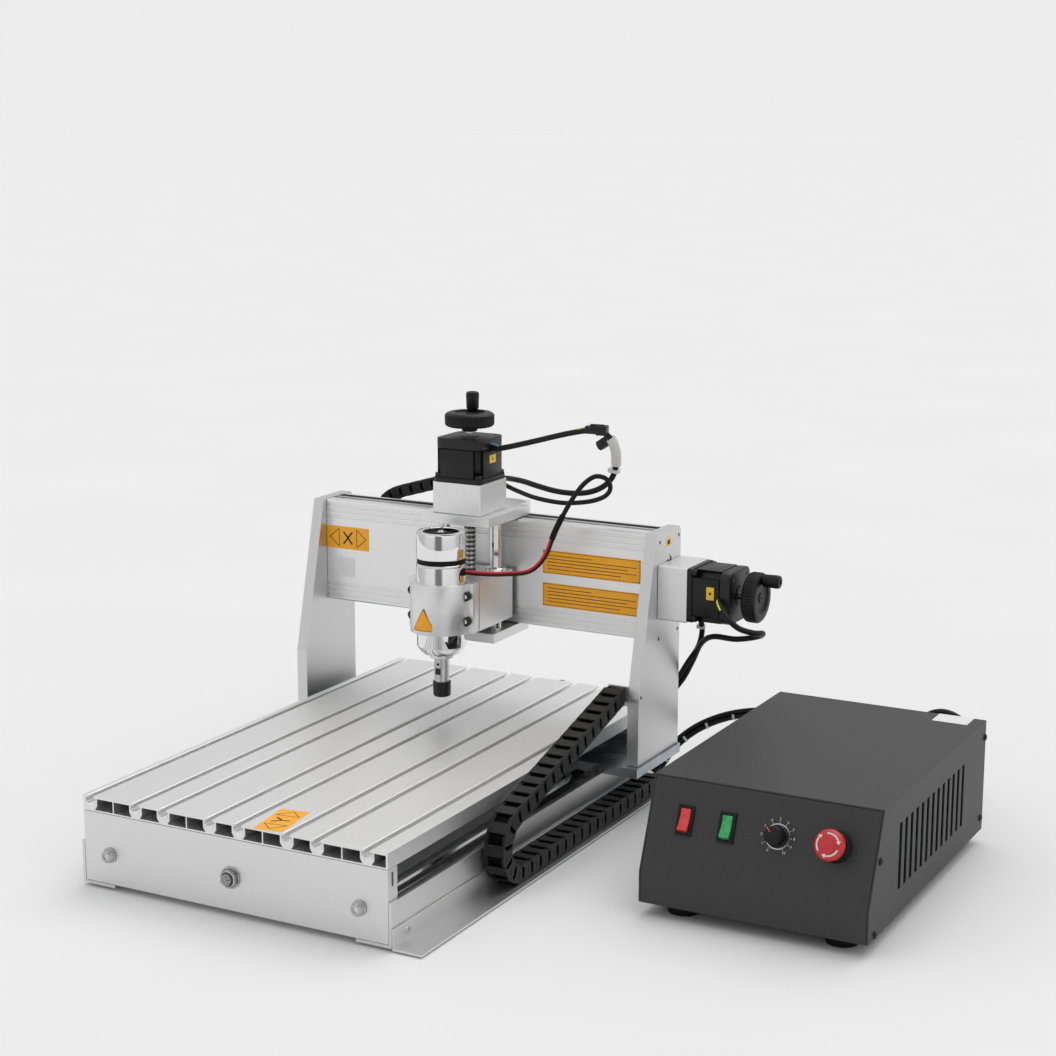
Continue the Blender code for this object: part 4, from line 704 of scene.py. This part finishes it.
def build_wheel(name, body, axis, pin=None):
    """A ribbed handwheel with a dished face; a fixed crank knob stands on it where pin is given."""
    low, high = span(name)
    index = "XYZ".index(axis)
    place = middle("y_screw" if pin else name)
    radius = (high - low).x / 2 if pin else half_width(name, index)
    place[index] = low[index]
    where = placed(axis, *place)
    piece = Piece(name + "_rim", body)
    piece.turned(where, ([(-1.2, 4.25), (4.6, 4.25)], 24, "bright_steel"),
                 ([(3.6, 7.0), (4.2, 8.2), (7.4, 8.6), (9.4, 11.0)], 40, "wheel_black"))
    rim = [(9.0, 12), (9.0, radius - 2.6), (10.2, radius - 0.7, 1), (12, radius - 0.1, 1),
           (20.4, radius, 1), (21.2, radius - 0.3), (22.6, radius - 1.6), (23.6, radius - 3.6),
           (24.0, radius - 6), (23.8, radius - 9.6), (22.4, radius - 10.6), (21.6, radius - 12),
           (21.6, 5.4), (22.6, 4.6), (22.6, 2.2), (21.9, 1.6)]
    piece.add(lathe(rim, ribs=52, depth=0.75), "wheel_black", where)
    if pin:
        piece.add(crank_shape(), "wheel_black", where @ move(*pin))
    piece.done(name)


def crank_shape():
    profile = [(-1.4, 4.4), (0.3, 5.2), (0.6, 6.0), (1.4, 6.5, 1), (15.4, 6.9, 1), (16.4, 6.8),
               (17.9, 6.2), (PIN_LENGTH, 5.2), (PIN_LENGTH, 2.4), (17.4, 2.0)]
    return lathe(profile, ribs=20, depth=0.35)


def build_crank(name, axis):
    place = pivot(name + "_spin")
    index = "XYZ".index(axis)
    place[index] = span(name)[1][index] - PIN_LENGTH
    where = placed(axis, *place)
    piece = Piece(name + "_knob", name)
    piece.add(crank_shape(), "wheel_black", where)
    piece.turned(where, ([(-11, 2.4), (1, 2.4)], 16, "screw_steel"))
    piece.done(name)


def build_drives():
    build_motor("x_motor", "gantry", "X", (spin(180, "Z") @ spin(90, "Y"), -5, -25))
    build_motor("y_motor", "frame", "Y", None)
    build_motor("z_motor", "x_carriage", "Z", (spin(90, "Y"), 0, -24))
    build_wheel("x_handwheel", "x_drive", "X")
    build_wheel("z_handwheel", "z_drive", "Z")
    build_wheel("y_handwheel", "y_drive", "Y", pin=(18.5, 0, 24))
    build_crank("x_crank", "X")
    build_crank("z_crank", "Z")


# ---- cable chains

def chain_path(fixed, floor, centre, radius, end):
    """Middle line of a chain: along its tray, round the bend and straight up to its end."""
    height = floor + radius
    away = math.hypot(end[0] - centre, end[1] - height)
    slope = math.atan2(end[1] - height, end[0] - centre) - math.asin(radius / away)
    bend = arc(centre, height, radius, 270, 90 + math.degrees(slope), 24)
    return [Vector(p) for p in [(fixed, floor)] + bend + [end]]


def stations(path, pitch):
    """Evenly spaced places on a path of straight pieces, each with its direction."""
    total = sum((b - a).length for a, b in zip(path, path[1:]))
    count = round(total / pitch)

    def point(distance):
        for a, b in zip(path, path[1:]):
            step = (b - a).length
            if distance <= step:
                return a + (b - a) * (distance / step)
            distance -= step
        return path[-1]

    step = total / count
    made = []
    for i in range(count):
        a, b = point(i * step), point((i + 1) * step)
        made.append(((a + b) / 2, (b - a).normalized()))
    return made, step


LAP, LINK_WALL = 0.3, 1.6


def chain_link(piece, where, pitch, height, width):
    """One link: two side plates that lap over the next, a bar outside and a bar inside."""
    h = height / 2
    lap = pitch * LAP
    outer = arc(-pitch * 0.5, 0, h - 0.4, 90, 270, 6) + [(lap, 0.4 - h), (lap, h - 0.4)]
    inner = arc(pitch * 0.5, 0, h - 1.4, -90, 90, 6) + [(-lap, h - 1.4), (-lap, 1.4 - h)]
    for side in (-1, 1):
        edge = side * width / 2
        far = edge - side * 1.7
        slot_shade_x = pitch * 0.02
        piece.add(prism(outer, *sorted((edge, edge - side * LINK_WALL))), "chain_black", where,
                  bevel=0.25, steps=1)
        piece.add(prism(inner, *sorted((far, far - side * LINK_WALL))), "chain_black", where)
        piece.turned(where @ move(-pitch * 0.5, 0, edge) @ Matrix.Diagonal((1, 1, side, 1)),
                     ([(0, 2.4), (0.35, 2.2)], 12, "chain_black"))
        # the thin near-black patch on each side plate is painted shade standing for an opening
        start, end = sorted((edge, edge + side * 0.06))
        piece.add(block((slot_shade_x, -h * 0.55, start), (slot_shade_x + 1.3, h * 0.55, end)), "recess_shade_black",
                  where)
        low, high = sorted((side * (h - 1.7), side * h))
        reach = pitch * 0.31
        piece.add(block((-reach, low, -width / 2 + 0.4), (reach, high, width / 2 - 0.4)),
                  "chain_black", where, bevel=0.4, steps=1)


def build_chain(name, index, path, width_range, height, pitch):
    """Lays a chain's links along its path: a lower run, the bend, and an upper run."""
    low, high = width_range
    links, step = stations(path, pitch)
    runs = {"lower": [], "bend": [], "upper": []}
    for place, direction in links:
        if place.y < path[0].y + 0.5:
            run = "lower"
        elif (place - path[-2]).dot(path[-1] - path[-2]) > 0:
            run = "upper"
        else:
            run = "bend"
        runs[run].append((place, direction))
    stands_for = [name]
    for run, members in runs.items():
        piece = Piece(name + "_" + run)
        for place, direction in members:
            across = (0, 0, 1 if index else -1, (low + high) / 2)
            along = (direction.x, -direction.y, 0, place.x)
            rows = (across, along) if index else (along, across)
            where = Matrix((*rows, (direction.y, direction.x, 0, place.y), (0, 0, 0, 1)))
            chain_link(piece, where, step, height, high - low)
            # a near-black block inside each link is painted shade in the chain's hollow
            inside_shade = Vector((step * 0.55, height * 0.26, (high - low) * 0.3))
            piece.add(block(-inside_shade, inside_shade), "recess_shade_black", where)
        obj = piece.done(*stands_for, ride=False)
        stands_for = []
        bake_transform(obj)


def build_chains():
    for name, parent, child, index, height, radius, pitch, end in (
            ("y_chain", "frame", "gantry", 1, 18.0, 29.0, 17.5,
             (span("gantry_plate_right")[0].y - 2.0, 131.0)),
            ("x_chain", "gantry", "x_carriage", 0, 14.0, 26.0, 14.5, (-21.5, 330.0))):
        low, high = span(name)
        path = chain_path(high[index], low.z + height / 2, low[index] + radius + height / 2, radius,
                          end)
        build_chain(name, index, path, (low[1 - index], high[1 - index]), height,
                    pitch)


# ---- control box

def on_panel(joint):
    """At a joint's pivot: local Z out of the sloped panel, local Y up its slope."""
    out = -Vector(JOINTS["estop_push"]["axis"])
    across = Vector((1, 0, 0))
    turn = Matrix((across, out.cross(across), out)).transposed().to_4x4()
    return move(*pivot(joint)) @ turn


STOP_RADIUS = 14.0
DIAL_FIGURES, DIAL_RADIUS, DIAL_STEP, DIAL_START = 11, 15.4, 30, 240


def build_estop():
    where = on_panel("estop_twist")
    r = STOP_RADIUS
    head = Piece("stop_button", "estop_head")
    head.turned(where, ([(13.3, r - 4), (13.8, r - 1.4), (15, r - 0.3), (17, r), (19.2, r - 0.2),
                         (21.2, r - 1.3), (22.6, r - 3), (23.5, r - 5.4), (24, r - 8.5),
                         (24.2, 0)], 64, "red_plastic"))
    for start in (100, 220, 340):
        outline = arc(0, 0, 10.6, start, start - 78, 12) + arc(0, 0, 9.2, start - 78, start, 12)
        arrow = [polar(12.0, start - 76), polar(9.9, start - 94), polar(7.9, start - 76)]
        head.add(prism(outline, 22.4, 23.68), "print_white", where)
        head.add(prism(arrow, 22.2, 23.72), "print_white", where)
    head.done("estop_head")


def build_knob():
    where = on_panel("speed_turn")
    pointer = where @ spin(45, "Z")
    knob = Piece("knob", "speed_knob")
    profile = [(1.0, 9.6), (1.1, 10.2), (2.2, 10.4), (3.0, 9.4), (3.6, 9.1, 1), (13.0, 8.5, 1),
               (14.0, 8.1), (14.8, 7.4), (15.0, 6.4), (15.0, 0)]
    knob.add(lathe(profile, ribs=18, depth=0.5), "wheel_black", where)
    knob.add(block((-0.6, 3.6, 14.9), (0.6, 7.9, 15.12)), "print_red", pointer)
    knob.add(block((-0.6, 8.6, 2.5), (0.6, 10.2, 3.1)), "print_white", pointer)
    knob.done("speed_knob")
    scale = Piece("knob_scale", "frame")
    scale.add(prism(arc(0, 0, 11.6, 0, 354, 59), 0.05, 0.5), "screw_steel", where)
    for i in range(DIAL_FIGURES):
        turn = DIAL_START - DIAL_STEP * i
        numeral(scale, str(i), where @ move(*polar(DIAL_RADIUS, turn), 0.08))
        scale.add(block((12.2, -0.25, 0.02), (13.3, 0.25, 0.12)), "print_white",
                  where @ spin(turn, "Z"))
    scale.done()


def numeral(piece, text, where):
    """A figure on the speed dial."""
    curve = bpy.data.curves.new("numeral", "FONT")
    curve.body = text
    curve.size = 3.6
    curve.align_x = curve.align_y = "CENTER"
    curve.extrude = 0.03
    curve.resolution_u = 2
    obj = linked("numeral", curve)
    depsgraph = bpy.context.evaluated_depsgraph_get()
    mesh = bpy.data.meshes.new_from_object(obj.evaluated_get(depsgraph))
    solid = bmesh.new()
    solid.from_mesh(mesh)
    bpy.data.objects.remove(obj)
    bpy.data.curves.remove(curve)
    bpy.data.meshes.remove(mesh)
    piece.add(solid, "print_white", where)


def build_rocker(name, joint, look):
    """A lit rocker with a curved face and grip ridges on its raised half."""
    low, high = span(name)
    half_x = (high.x - low.x) / 2 - 0.2
    face = [(5.0, 2.7), (2.5, 2.75), (0, 3.1), (-2.5, 3.7), (-5.0, 4.6), (-7.0, 5.6)]
    outline = [(0, -6.8)] + arc(0, 0, 11, -8, 15, 4) + face + arc(0, 0, 11, 144, 188, 5)
    piece = Piece(name + "_lens", name)
    # a prism runs along local Z, so its outline's X and Y become the panel's Y and Z
    lie = on_panel(joint) @ TURN["X"]
    piece.add(prism(outline, -half_x, half_x), look, lie, bevel=0.7, steps=3)
    for i in range(4):
        ridge = arc(1.3 * i - 7.8, 5.75 - 0.62 * i, 0.35, 0, 300, 5)
        piece.add(prism(ridge, 1.0 - half_x, half_x - 1.0), look, lie)
    piece.done(name)


def build_box():
    low, high = span("box_cover")
    feet = Piece("rubber_feet", "frame")
    for x in (low.x + 33, high.x - 33):
        for y in (low.y + 29, high.y - 29):
            feet.turned(placed("Z", x, y, 0),
                        ([(0.05, 13.4), (0.4, 14.6), (1.4, 15.2), (11.5, 15.4), (12.9, 15.4)], 40,
                         "rubber"))
    feet.done()
    screws = Piece("box_screws", "frame")
    for y, z in ((338, 109), (334, 26.5), (26, 81), (17, 17)):
        for face, side in ((high.x, 1), (low.x, -1)):
            screws.turned(placed("X", face, low.y + y, z) @ Matrix.Diagonal((1, 1, side, 1)),
                          ([(-0.5, 3.6), (0.9, 3.5), (1.7, 2.6), (2.0, 1.4), (1.4, 1.2)], 20,
                           "black_screw"))
    screws.done()
    sticker = Piece("blank_sticker", "frame")
    sticker.add(prism(rounded(17.8, 13, 1.0, 3), 0, 0.15), "label_white",
                placed("Z", low.x + 188, high.y - 13, high.z))
    sticker.done()
    build_estop()
    build_knob()
    build_rocker("power_rocker", "power_tilt", "red_lens")
    build_rocker("spindle_rocker", "spindle_tilt", "green_lens")


# ---- labels and screws

PAPER, PRINT = 0.12, 0.18
DASH_PITCH, DASH, DASH_INSET = 3.6, (1.0, 0.4), 1.2


def sheet(piece, where, half_x, half_y, look="label_orange"):
    """A plain printed label."""
    piece.add(prism(rounded(half_x, half_y, 0.6, 2), 0, PAPER), look, where)


def notice(piece, where, half_x, half_y):
    """A label with a dashed frame and plain lines in place of its words."""
    sheet(piece, where, half_x, half_y)
    for reach, edge, order in ((half_x, half_y, 1), (half_y, half_x, -1)):
        count = int(2 * reach / DASH_PITCH)
        for i in range(count):
            place = DASH_PITCH / 2 - reach + (2 * reach - DASH_PITCH) * i / (count - 1)
            for side in (-1, 1):
                x, y = (place, side * (edge - DASH_INSET))[::order]
                w, h = DASH[::order]
                piece.add(block((x - w, y - h, 0.1), (x + w, y + h, PRINT)), "print_black", where)
    for i, length in enumerate((52, 104, 94, 104, 86)):
        y = 7.2 - 3.6 * i
        piece.add(block((-52, y - 0.35, 0.1), (length - 52, y + 0.35, 0.17)), "print_black", where)


def arrow_label(piece, where, half_x, half_y, strokes):
    """An axis label: two hollow arrow heads that point apart, with the axis between them."""
    sheet(piece, where, half_x, half_y)
    tip, inner, top = half_x * 0.86, half_x * 0.42, half_y * 0.78
    for side in (-1, 1):
        line = [(side * inner, top), (side * tip, 0), (side * inner, -top), (side * inner, top)]
        for a, b in zip(line, line[1:]):
            stroke(piece, where, a, b, 0.8)
    wide, tall = inner * 0.5, top * 0.7
    for x1, y1, x2, y2 in strokes:
        stroke(piece, where, (x1 * wide, y1 * tall), (x2 * wide, y2 * tall), 2.0)


def stroke(piece, where, a, b, width):
    a, b = Vector(a), Vector(b)
    side = (b - a).normalized().orthogonal() * width / 2
    piece.add(prism([a - side, b - side, b + side, a + side], 0.1, PRINT), "print_black", where)


LETTER_X = ((-1, 1, 1, -1), (-1, -1, 1, 1))
LETTER_Y = ((-1, 1, 0, 0), (1, 1, 0, 0), (0, 0, 0, -1))
SIGN_RADIUS, SIGN_FOOT, SIGN_HEIGHT = 32.62, 191.5, 24.0


def build_labels():
    low, high = span("crossbeam")
    face = move(0, low.y, 0) @ spin(90, "X")
    labels = Piece("beam_labels", "gantry")
    arrow_label(labels, face @ move(-168.5, 250.5, 0), 27.5, 12.6, LETTER_X)
    sheet(labels, face @ move(-173.8, 217.3, 0), 13.8, 11.2, "label_white")
    for z in (250.0, 214.8):
        notice(labels, face @ move(132.3, z, 0), 57.0, 12.6)
    labels.done()
    table = Piece("table_label", "frame")
    arrow_label(table, move(38.0, 27.8, span("table")[1].z) @ spin(98, "Z"), 28.5, 14.5, LETTER_Y)
    table.done()
    sign = Piece("clamp_sign", "z_slide")
    triangle_sign(sign, *middle("spindle_body").xy)
    sign.done()
    # a near-black strip laid over the beam's top is painted shade along it
    top_shade_strip = Piece("beam_top_shade", "gantry")
    top_shade_strip.add(block((low.x + 0.3, low.y + 25, high.z - 0.3),
                   (high.x - 0.3, high.y - 5, high.z + 0.12)), "recess_shade_black")
    top_shade_strip.done()
    small = Piece("plate_label", "gantry")
    place = placed("X", 209.0, 484.5, 279.5)
    small.add(prism(rounded(5.5, 4.2, 0.5, 2), 0, PAPER), "label_yellow", place)
    small.add(prism(rounded(3.4, 2.2, 0.4, 2), 0.1, PRINT), "print_black", place)
    small.done()


def triangle_sign(piece, cx, cy, rows=10, columns=8):
    """A plain triangular sticker wrapped on the front of the round clamp, with a darker rim."""
    centre = SIGN_FOOT + SIGN_HEIGHT * 0.36
    for share, look, lift in ((1.0, "label_dim", 0.4), (0.86, "label_orange", 0.48)):
        bm = bmesh.new()
        grid = []
        for i in range(rows + 1):
            z = centre + (SIGN_FOOT + SIGN_HEIGHT * i / rows - centre) * share
            width = SIGN_HEIGHT * 0.55 * (1 - i / rows) * share + 0.2
            turns = [width * (2 * j / columns - 1) / SIGN_RADIUS for j in range(columns + 1)]
            places = [polar(SIGN_RADIUS + lift, math.degrees(turn) - 90) for turn in turns]
            grid.append([bm.verts.new((cx - 2.5 + x, cy + y, z)) for x, y in places])
        for a, b in zip(grid, grid[1:]):
            for j in range(columns):
                bm.faces.new((a[j], a[j + 1], b[j + 1], b[j]))
        bmesh.ops.recalc_face_normals(bm, faces=bm.faces)
        piece.add(bm, look)


def build_bolts():
    """Socket screws and washers on the end plates, and the nut of the lead screw."""
    bolts = Piece("end_bolts", "frame")
    front = span("front_plate")[0].y
    for rod in ("y_rod_left", "y_rod_right"):
        for y, side in ((front, -1), (span("rear_plate")[1].y, 1)):
            where = placed("Y", middle(rod).x, y, middle("y_rod_left").z)
            bolts.turned(where, ([(0.2 * side, 7.4), (1.4 * side, 7.4), (1.6 * side, 7.0)], 32,
                                 "screw_steel"))
            socket_screw(bolts, where @ move(0, 0, 1.4 * side), 5.9, 5.0 * side, "screw_steel")
    bolts.done()
    nut = Piece("screw_nut", "frame")
    where = placed("Y", middle("y_screw").x, front, middle("y_screw").z)
    nut.turned(where, ([(-0.2, 10.4), (-1.3, 10.4), (-1.6, 10.0)], 40, "screw_steel"))
    nut.add(prism(hexagon(9.2), -5.4, -1.6), "screw_steel", where, bevel=0.5)
    nut.turned(where, ([(-5.2, 5.6), (-7.6, 5.4), (-8.0, 4.8), (-8.0, 0)], 32, "screw_steel"))
    nut.done()
    tray = Piece("tray_screws", "frame")
    low, high = span("chain_tray")
    for y in (22, high.y - 22):
        tray.turned(placed("X", low.x + 0.5, y, low.z + 12),
                    ([(1.6, 3.4), (3.4, 3.2), (3.9, 2.2), (3.9, 0)], 20, "screw_steel"))
    tray.done()

# ---- cables

CABLE = 6.0
MAINS = 7.0
WIRES = 5.0
TIE = 3.0
STEPS = 6
LAP_TURN, CHANGE, WOUND, COIL_STEPS = 320, 40, 1800, 180
LEAD_X, LEAD_Y, LEAD_MIDDLE, LEAD_BEND = 446, 593, 475, 29


def coil_points():
    """The wound mains lead: laps on three levels that cross over to each other smoothly."""
    low, high = span("mains_coil")
    middle_x, middle_y = middle("mains_coil").xy
    outer = (high.x - low.x) / 2 - MAINS / 2
    inner = outer - MAINS
    floor = low.z + MAINS / 2
    laps = [(outer, 0), (inner, 0), (inner, 1), (inner, 2), (outer, 2), (outer, 1)]
    points = []
    for i in range(1, COIL_STEPS + 1):
        turned = WOUND * i / COIL_STEPS
        lap = min(int(turned // LAP_TURN), len(laps) - 1)
        radius, level = laps[lap]
        left = (turned - lap * LAP_TURN - (LAP_TURN - CHANGE)) / CHANGE
        if left > 0 and lap + 1 < len(laps):
            share = left * left * (3 - 2 * left)
            radius += (laps[lap + 1][0] - radius) * share
            level += (laps[lap + 1][1] - level) * share
        x, y = polar(radius, 270 - turned)
        points.append(Vector((middle_x + x, middle_y + y, floor + level * MAINS)))
    return points


def lay_cable(name, path, diameter, body, stands_for, lay="hanging", far_end="object", **facts):
    piece = Piece(name, body)
    piece.add(tube(path, diameter / 2), "cable_black")
    piece.done(*stands_for)


def build_mains():
    rise = [(561.6, 47), (570.8, 48), (578, 51), (584.2, 55.8), (589, 62), (592, 69.2), (593, 77)]
    over = arc(LEAD_MIDDLE, 77.5, LEAD_BEND, 157.5, 0, 7) + [(504, 62), (504, 47)]
    under = arc(LEAD_MIDDLE, 32.8, LEAD_BEND, 0, -90, 4) + [(460, 3.8), (LEAD_X, 3.8)]
    route = [(LEAD_X, y, z) for y, z in rise] + [(x, LEAD_Y, z) for x, z in over + under]
    path = smooth(route, 4) + coil_points()
    end = path[-1]
    path += [end + Vector(step) for step in ((-9, 0, 0.2), (-18, 0, 0.8), (-26.4, 0, 1.2))]
    lay_cable("mains_lead", path, MAINS, "frame", ["mains_cord", "mains_coil"], lay="coiled",
              far_end="plug", with_pieces=[build_plug()])


def build_plug():
    """A two-pin moulded plug that lies with its pins level."""
    low, high = span("mains_plug")
    y, z = middle("mains_plug").y, 12.0
    piece = Piece("plug", "frame")
    where = placed("X", 0, y, z)
    ribs = []
    for i in range(5):
        x = high.x - 2.2 * i
        ribs += [(x, 5.0 + 0.25 * i), (x - 1.2, 5.0 + 0.25 * i), (x - 1.2, 4.4), (x - 2.2, 4.4)]
    back = high.x - 11
    piece.turned(where, (ribs + [(back - 2, 7)], 24, "connector_black"))
    body = prism(rounded(11.5, 11.5, 4), back - 36, back)
    for vertex in body.verts:
        if vertex.co.z > back - 1:
            vertex.co.x *= 0.62
            vertex.co.y *= 0.62
    piece.add(body, "connector_black", where, bevel=1.5, steps=3)
    for side in (-6.5, 6.5):
        piece.add(prism(rounded(0.9, 3.0, 0.8, 3), low.x, low.x + 18), "screw_steel",
                  placed("X", 0, y + side, z) @ spin(90, "Z"))
    return piece.done("mains_plug")


Z_CABLE = [(30.9, 431, 371), (36.5, 431, 371), (50, 431, 374), (66, 431, 378.3), (84, 431.5, 383.3),
           (102, 432.5, 388.5), (120, 434, 393.3), (138, 436, 397), (152, 438.5, 397),
           (161.5, 442, 390), (165, 445.5, 380), (165, 449, 370), (163, 452.5, 360),
           (157, 456.5, 347), (145, 461, 336), (128, 466, 328), (107, 472, 323.5),
           (82, 480, 322), (57, 488, 323.5), (32, 498, 325.5), (12, 508, 325), (-5, 524, 322)]
BOOT = (110, 421, 293)
SPINDLE_LEAD = [(30, 371, 251), (36, 371, 251), (50, 376, 250), (68, 390, 249), (88, 406, 251),
                (101, 415, 266), BOOT, (120.5, 425.5, 316), (129, 430, 332),
                (137.5, 434, 343.5), (147, 438.5, 350), (156, 444, 347.5), (158, 450.5, 337.5),
                (150, 456.5, 327.5), (134, 462, 320), (112, 469, 314.5), (86, 479, 310.5),
                (48, 497, 309), (16, 514, 311), (-7, 526, 314)]
X_CABLE = [(279, 458.7, 229), (279.5, 453.7, 228.6), (289, 446.7, 219), (304, 445.7, 208),
           (318, 452.7, 203), (321, 470, 199), (309, 484, 191), (282, 494, 183), (254, 500, 181),
           (235, 513, 168), (221, 524, 145), (208, 527, 122), (194, 522, 104), (185, 503, 98),
           (183, 475, 107), (183, 445, 122)]
X_PAIR = [(232, 508, 207), (235.5, 509, 196), (236, 513, 182), (229.5, 518.5, 163),
          (217, 521, 144), (203.5, 522, 122), (194, 514, 108), (191, 500, 104)]
HARNESS = [(184, 506, 14), (186, 525, 22), (198, 541, 44), (220, 556, 63), (252, 566, 77),
           (290, 572, 84), (332, 573, 84), (358, 560, 79), (363, 547, 76), (363, 541, 75),
           (363, 537.3, 75)]


def beside(path, distance):
    """A path shifted across itself, towards the upper left as seen from the front."""
    made = []
    for i, place in enumerate(path):
        along = (path[min(i + 1, len(path) - 1)] - path[max(i - 1, 0)]).normalized()
        lean = Vector((-1, -0.3, 1))
        across = (lean - along * lean.dot(along)).normalized()
        made.append(place + across * distance)
    return made


def zip_tie(piece, path, index, radius):
    """A white cable tie round a path: its band and its square head."""
    along = (path[index + 1] - path[index - 1]).normalized()
    where = move(*path[index]) @ along.to_track_quat("Z", "Y").to_matrix().to_4x4()
    band = [(-1.3, radius), (-1.3, radius + 0.7), (1.3, radius + 0.7), (1.3, radius)]
    piece.turned(where, (band, 24, "tie_white"))
    piece.add(block((radius - 0.3, -2.2, -2.0), (radius + 2.6, 2.2, 2.0)), "tie_white", where,
              bevel=0.4)


def build_head_cable():
    """The Z motor's cable, with its connector, its strands and its white wrap and tie."""
    path = smooth(Z_CABLE, STEPS)
    lay_cable("head_cable", path, CABLE, "x_carriage", ["z_motor_cable"])
    trim = Piece("head_connectors", "x_carriage")
    lie = move(147.5, 437.6, 397.8) @ spin(8, "Z")
    low_lie = move(153.5, 445.0, 384.5) @ spin(-35, "Y")
    grips = [((x, -5.9, -3.4), (x + 1.2, 5.9, 4.6), lie, 0) for x in (3.6, 6.4, 9.2)]
    for low, high, where, bevel in (
            [((-11, -4.6, -3.6), (2, 4.6, 4.2), lie, 0.6),
             ((1, -5.6, -4.6), (12, 5.6, 5.2), lie, 0.7), ((-6, -1.6, 4), (9, 1.6, 6.2), lie, 0.4)]
            + grips
            + [((-7, -4.4, -5.0), (5, 4.4, 5.0), low_lie, 0.8),
               ((-8.6, -2.8, -3.2), (-6, 2.8, 3.2), low_lie, 0.4)]):
        trim.add(block(low, high), "connector_black", where, bevel)
    for i, look in enumerate(("wire_yellow", "wire_green", "wire_yellow")):
        y = 434.4 + 1.9 * i
        strand = [(125, 434.4 + 0.5 * i, 396.0), (130, y, 398.2), (136.5, y + 0.6, 397.6)]
        trim.add(tube(smooth(strand, 4), 1.0, 8), look)
    wrap = [p for p in path if p.x > 156 and 361 < p.z < 391]
    trim.add(tube(wrap, 5.2, 20), "tape_white")
    zip_tie(trim, path, path.index(wrap[-1]) + 3, 5.0)
    for i, look in enumerate(("wire_blue", "wire_red", "wire_green")):
        strand = [(30.0, 427 + 2.2 * i, 376.5 - i), (34, 428 + 2.0 * i, 376.0 - 1.2 * i),
                  (40, 430 + 0.6 * i, 373.2 - 0.6 * i)]
        trim.add(tube(smooth(strand, 4), 0.9, 8), look)
    trim.done()


def build_spindle_lead():
    """Two wires from the spindle that go into one black sleeve with a boot."""
    lead = smooth(SPINDLE_LEAD, STEPS)
    boot = STEPS * SPINDLE_LEAD.index(BOOT)
    piece = Piece("spindle_wires", "x_carriage")
    for shift, look in ((1.25, "wire_red"), (-1.25, "cable_black")):
        piece.add(tube(beside(lead[:boot + 1], shift), 1.3, 10), look)
    piece.add(tube(lead[boot:], WIRES / 2), "cable_black")
    obj = piece.done("spindle_cable", ride=False)
    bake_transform(obj)
    sleeve = Piece("lead_boot")
    sleeve.add(tube(lead[boot - 2:boot + 5], 3.1, 16), "rubber")
    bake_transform(sleeve.done(ride=False))


def build_side_cable():
    """The X motor's cable, the one that runs beside it, and its coloured strands."""
    lay_cable("side_cable", smooth(X_CABLE, STEPS), CABLE, "gantry", ["x_motor_cable"])
    trim = Piece("side_cable_parts", "gantry")
    pair = smooth(X_PAIR, STEPS)
    trim.add(tube(pair, 2.9), "cable_black")
    zip_tie(trim, pair, 10, TIE)
    start = smooth(X_CABLE[:4], STEPS)
    for look, lift in (("wire_yellow", 2.4), ("wire_green", -2.2)):
        trim.add(tube(beside(start[2:11], lift), 1.15, 8), look)
    trim.done()


def build_harness():
    """The cable from the box to the machine, a thinner one beside it and their ties."""
    path = smooth(HARNESS, STEPS)
    lay_cable("box_cable", path, CABLE, "frame", ["box_harness"])
    ties = Piece("harness_ties", "frame")
    for index in (8, 14, 19, 24, 30, 36):
        zip_tie(ties, path, index, TIE)
    ties.add(tube(beside(path[3:-8], 5.2), 2.3, 12), "cable_black")
    ties.done()


# ---- whole scene


def main():
    bpy.context.scene.view_settings.view_transform = "Standard"
    for build in (make_looks, make_camera, make_world, make_lights, make_floor, dress_packed,
                  build_spindle, build_tool_holder, build_clamp_parts, build_drives, build_chains,
                  build_box, build_labels, build_bolts, build_mains, build_head_cable,
                  build_spindle_lead, build_side_cable, build_harness):
        build()


main()
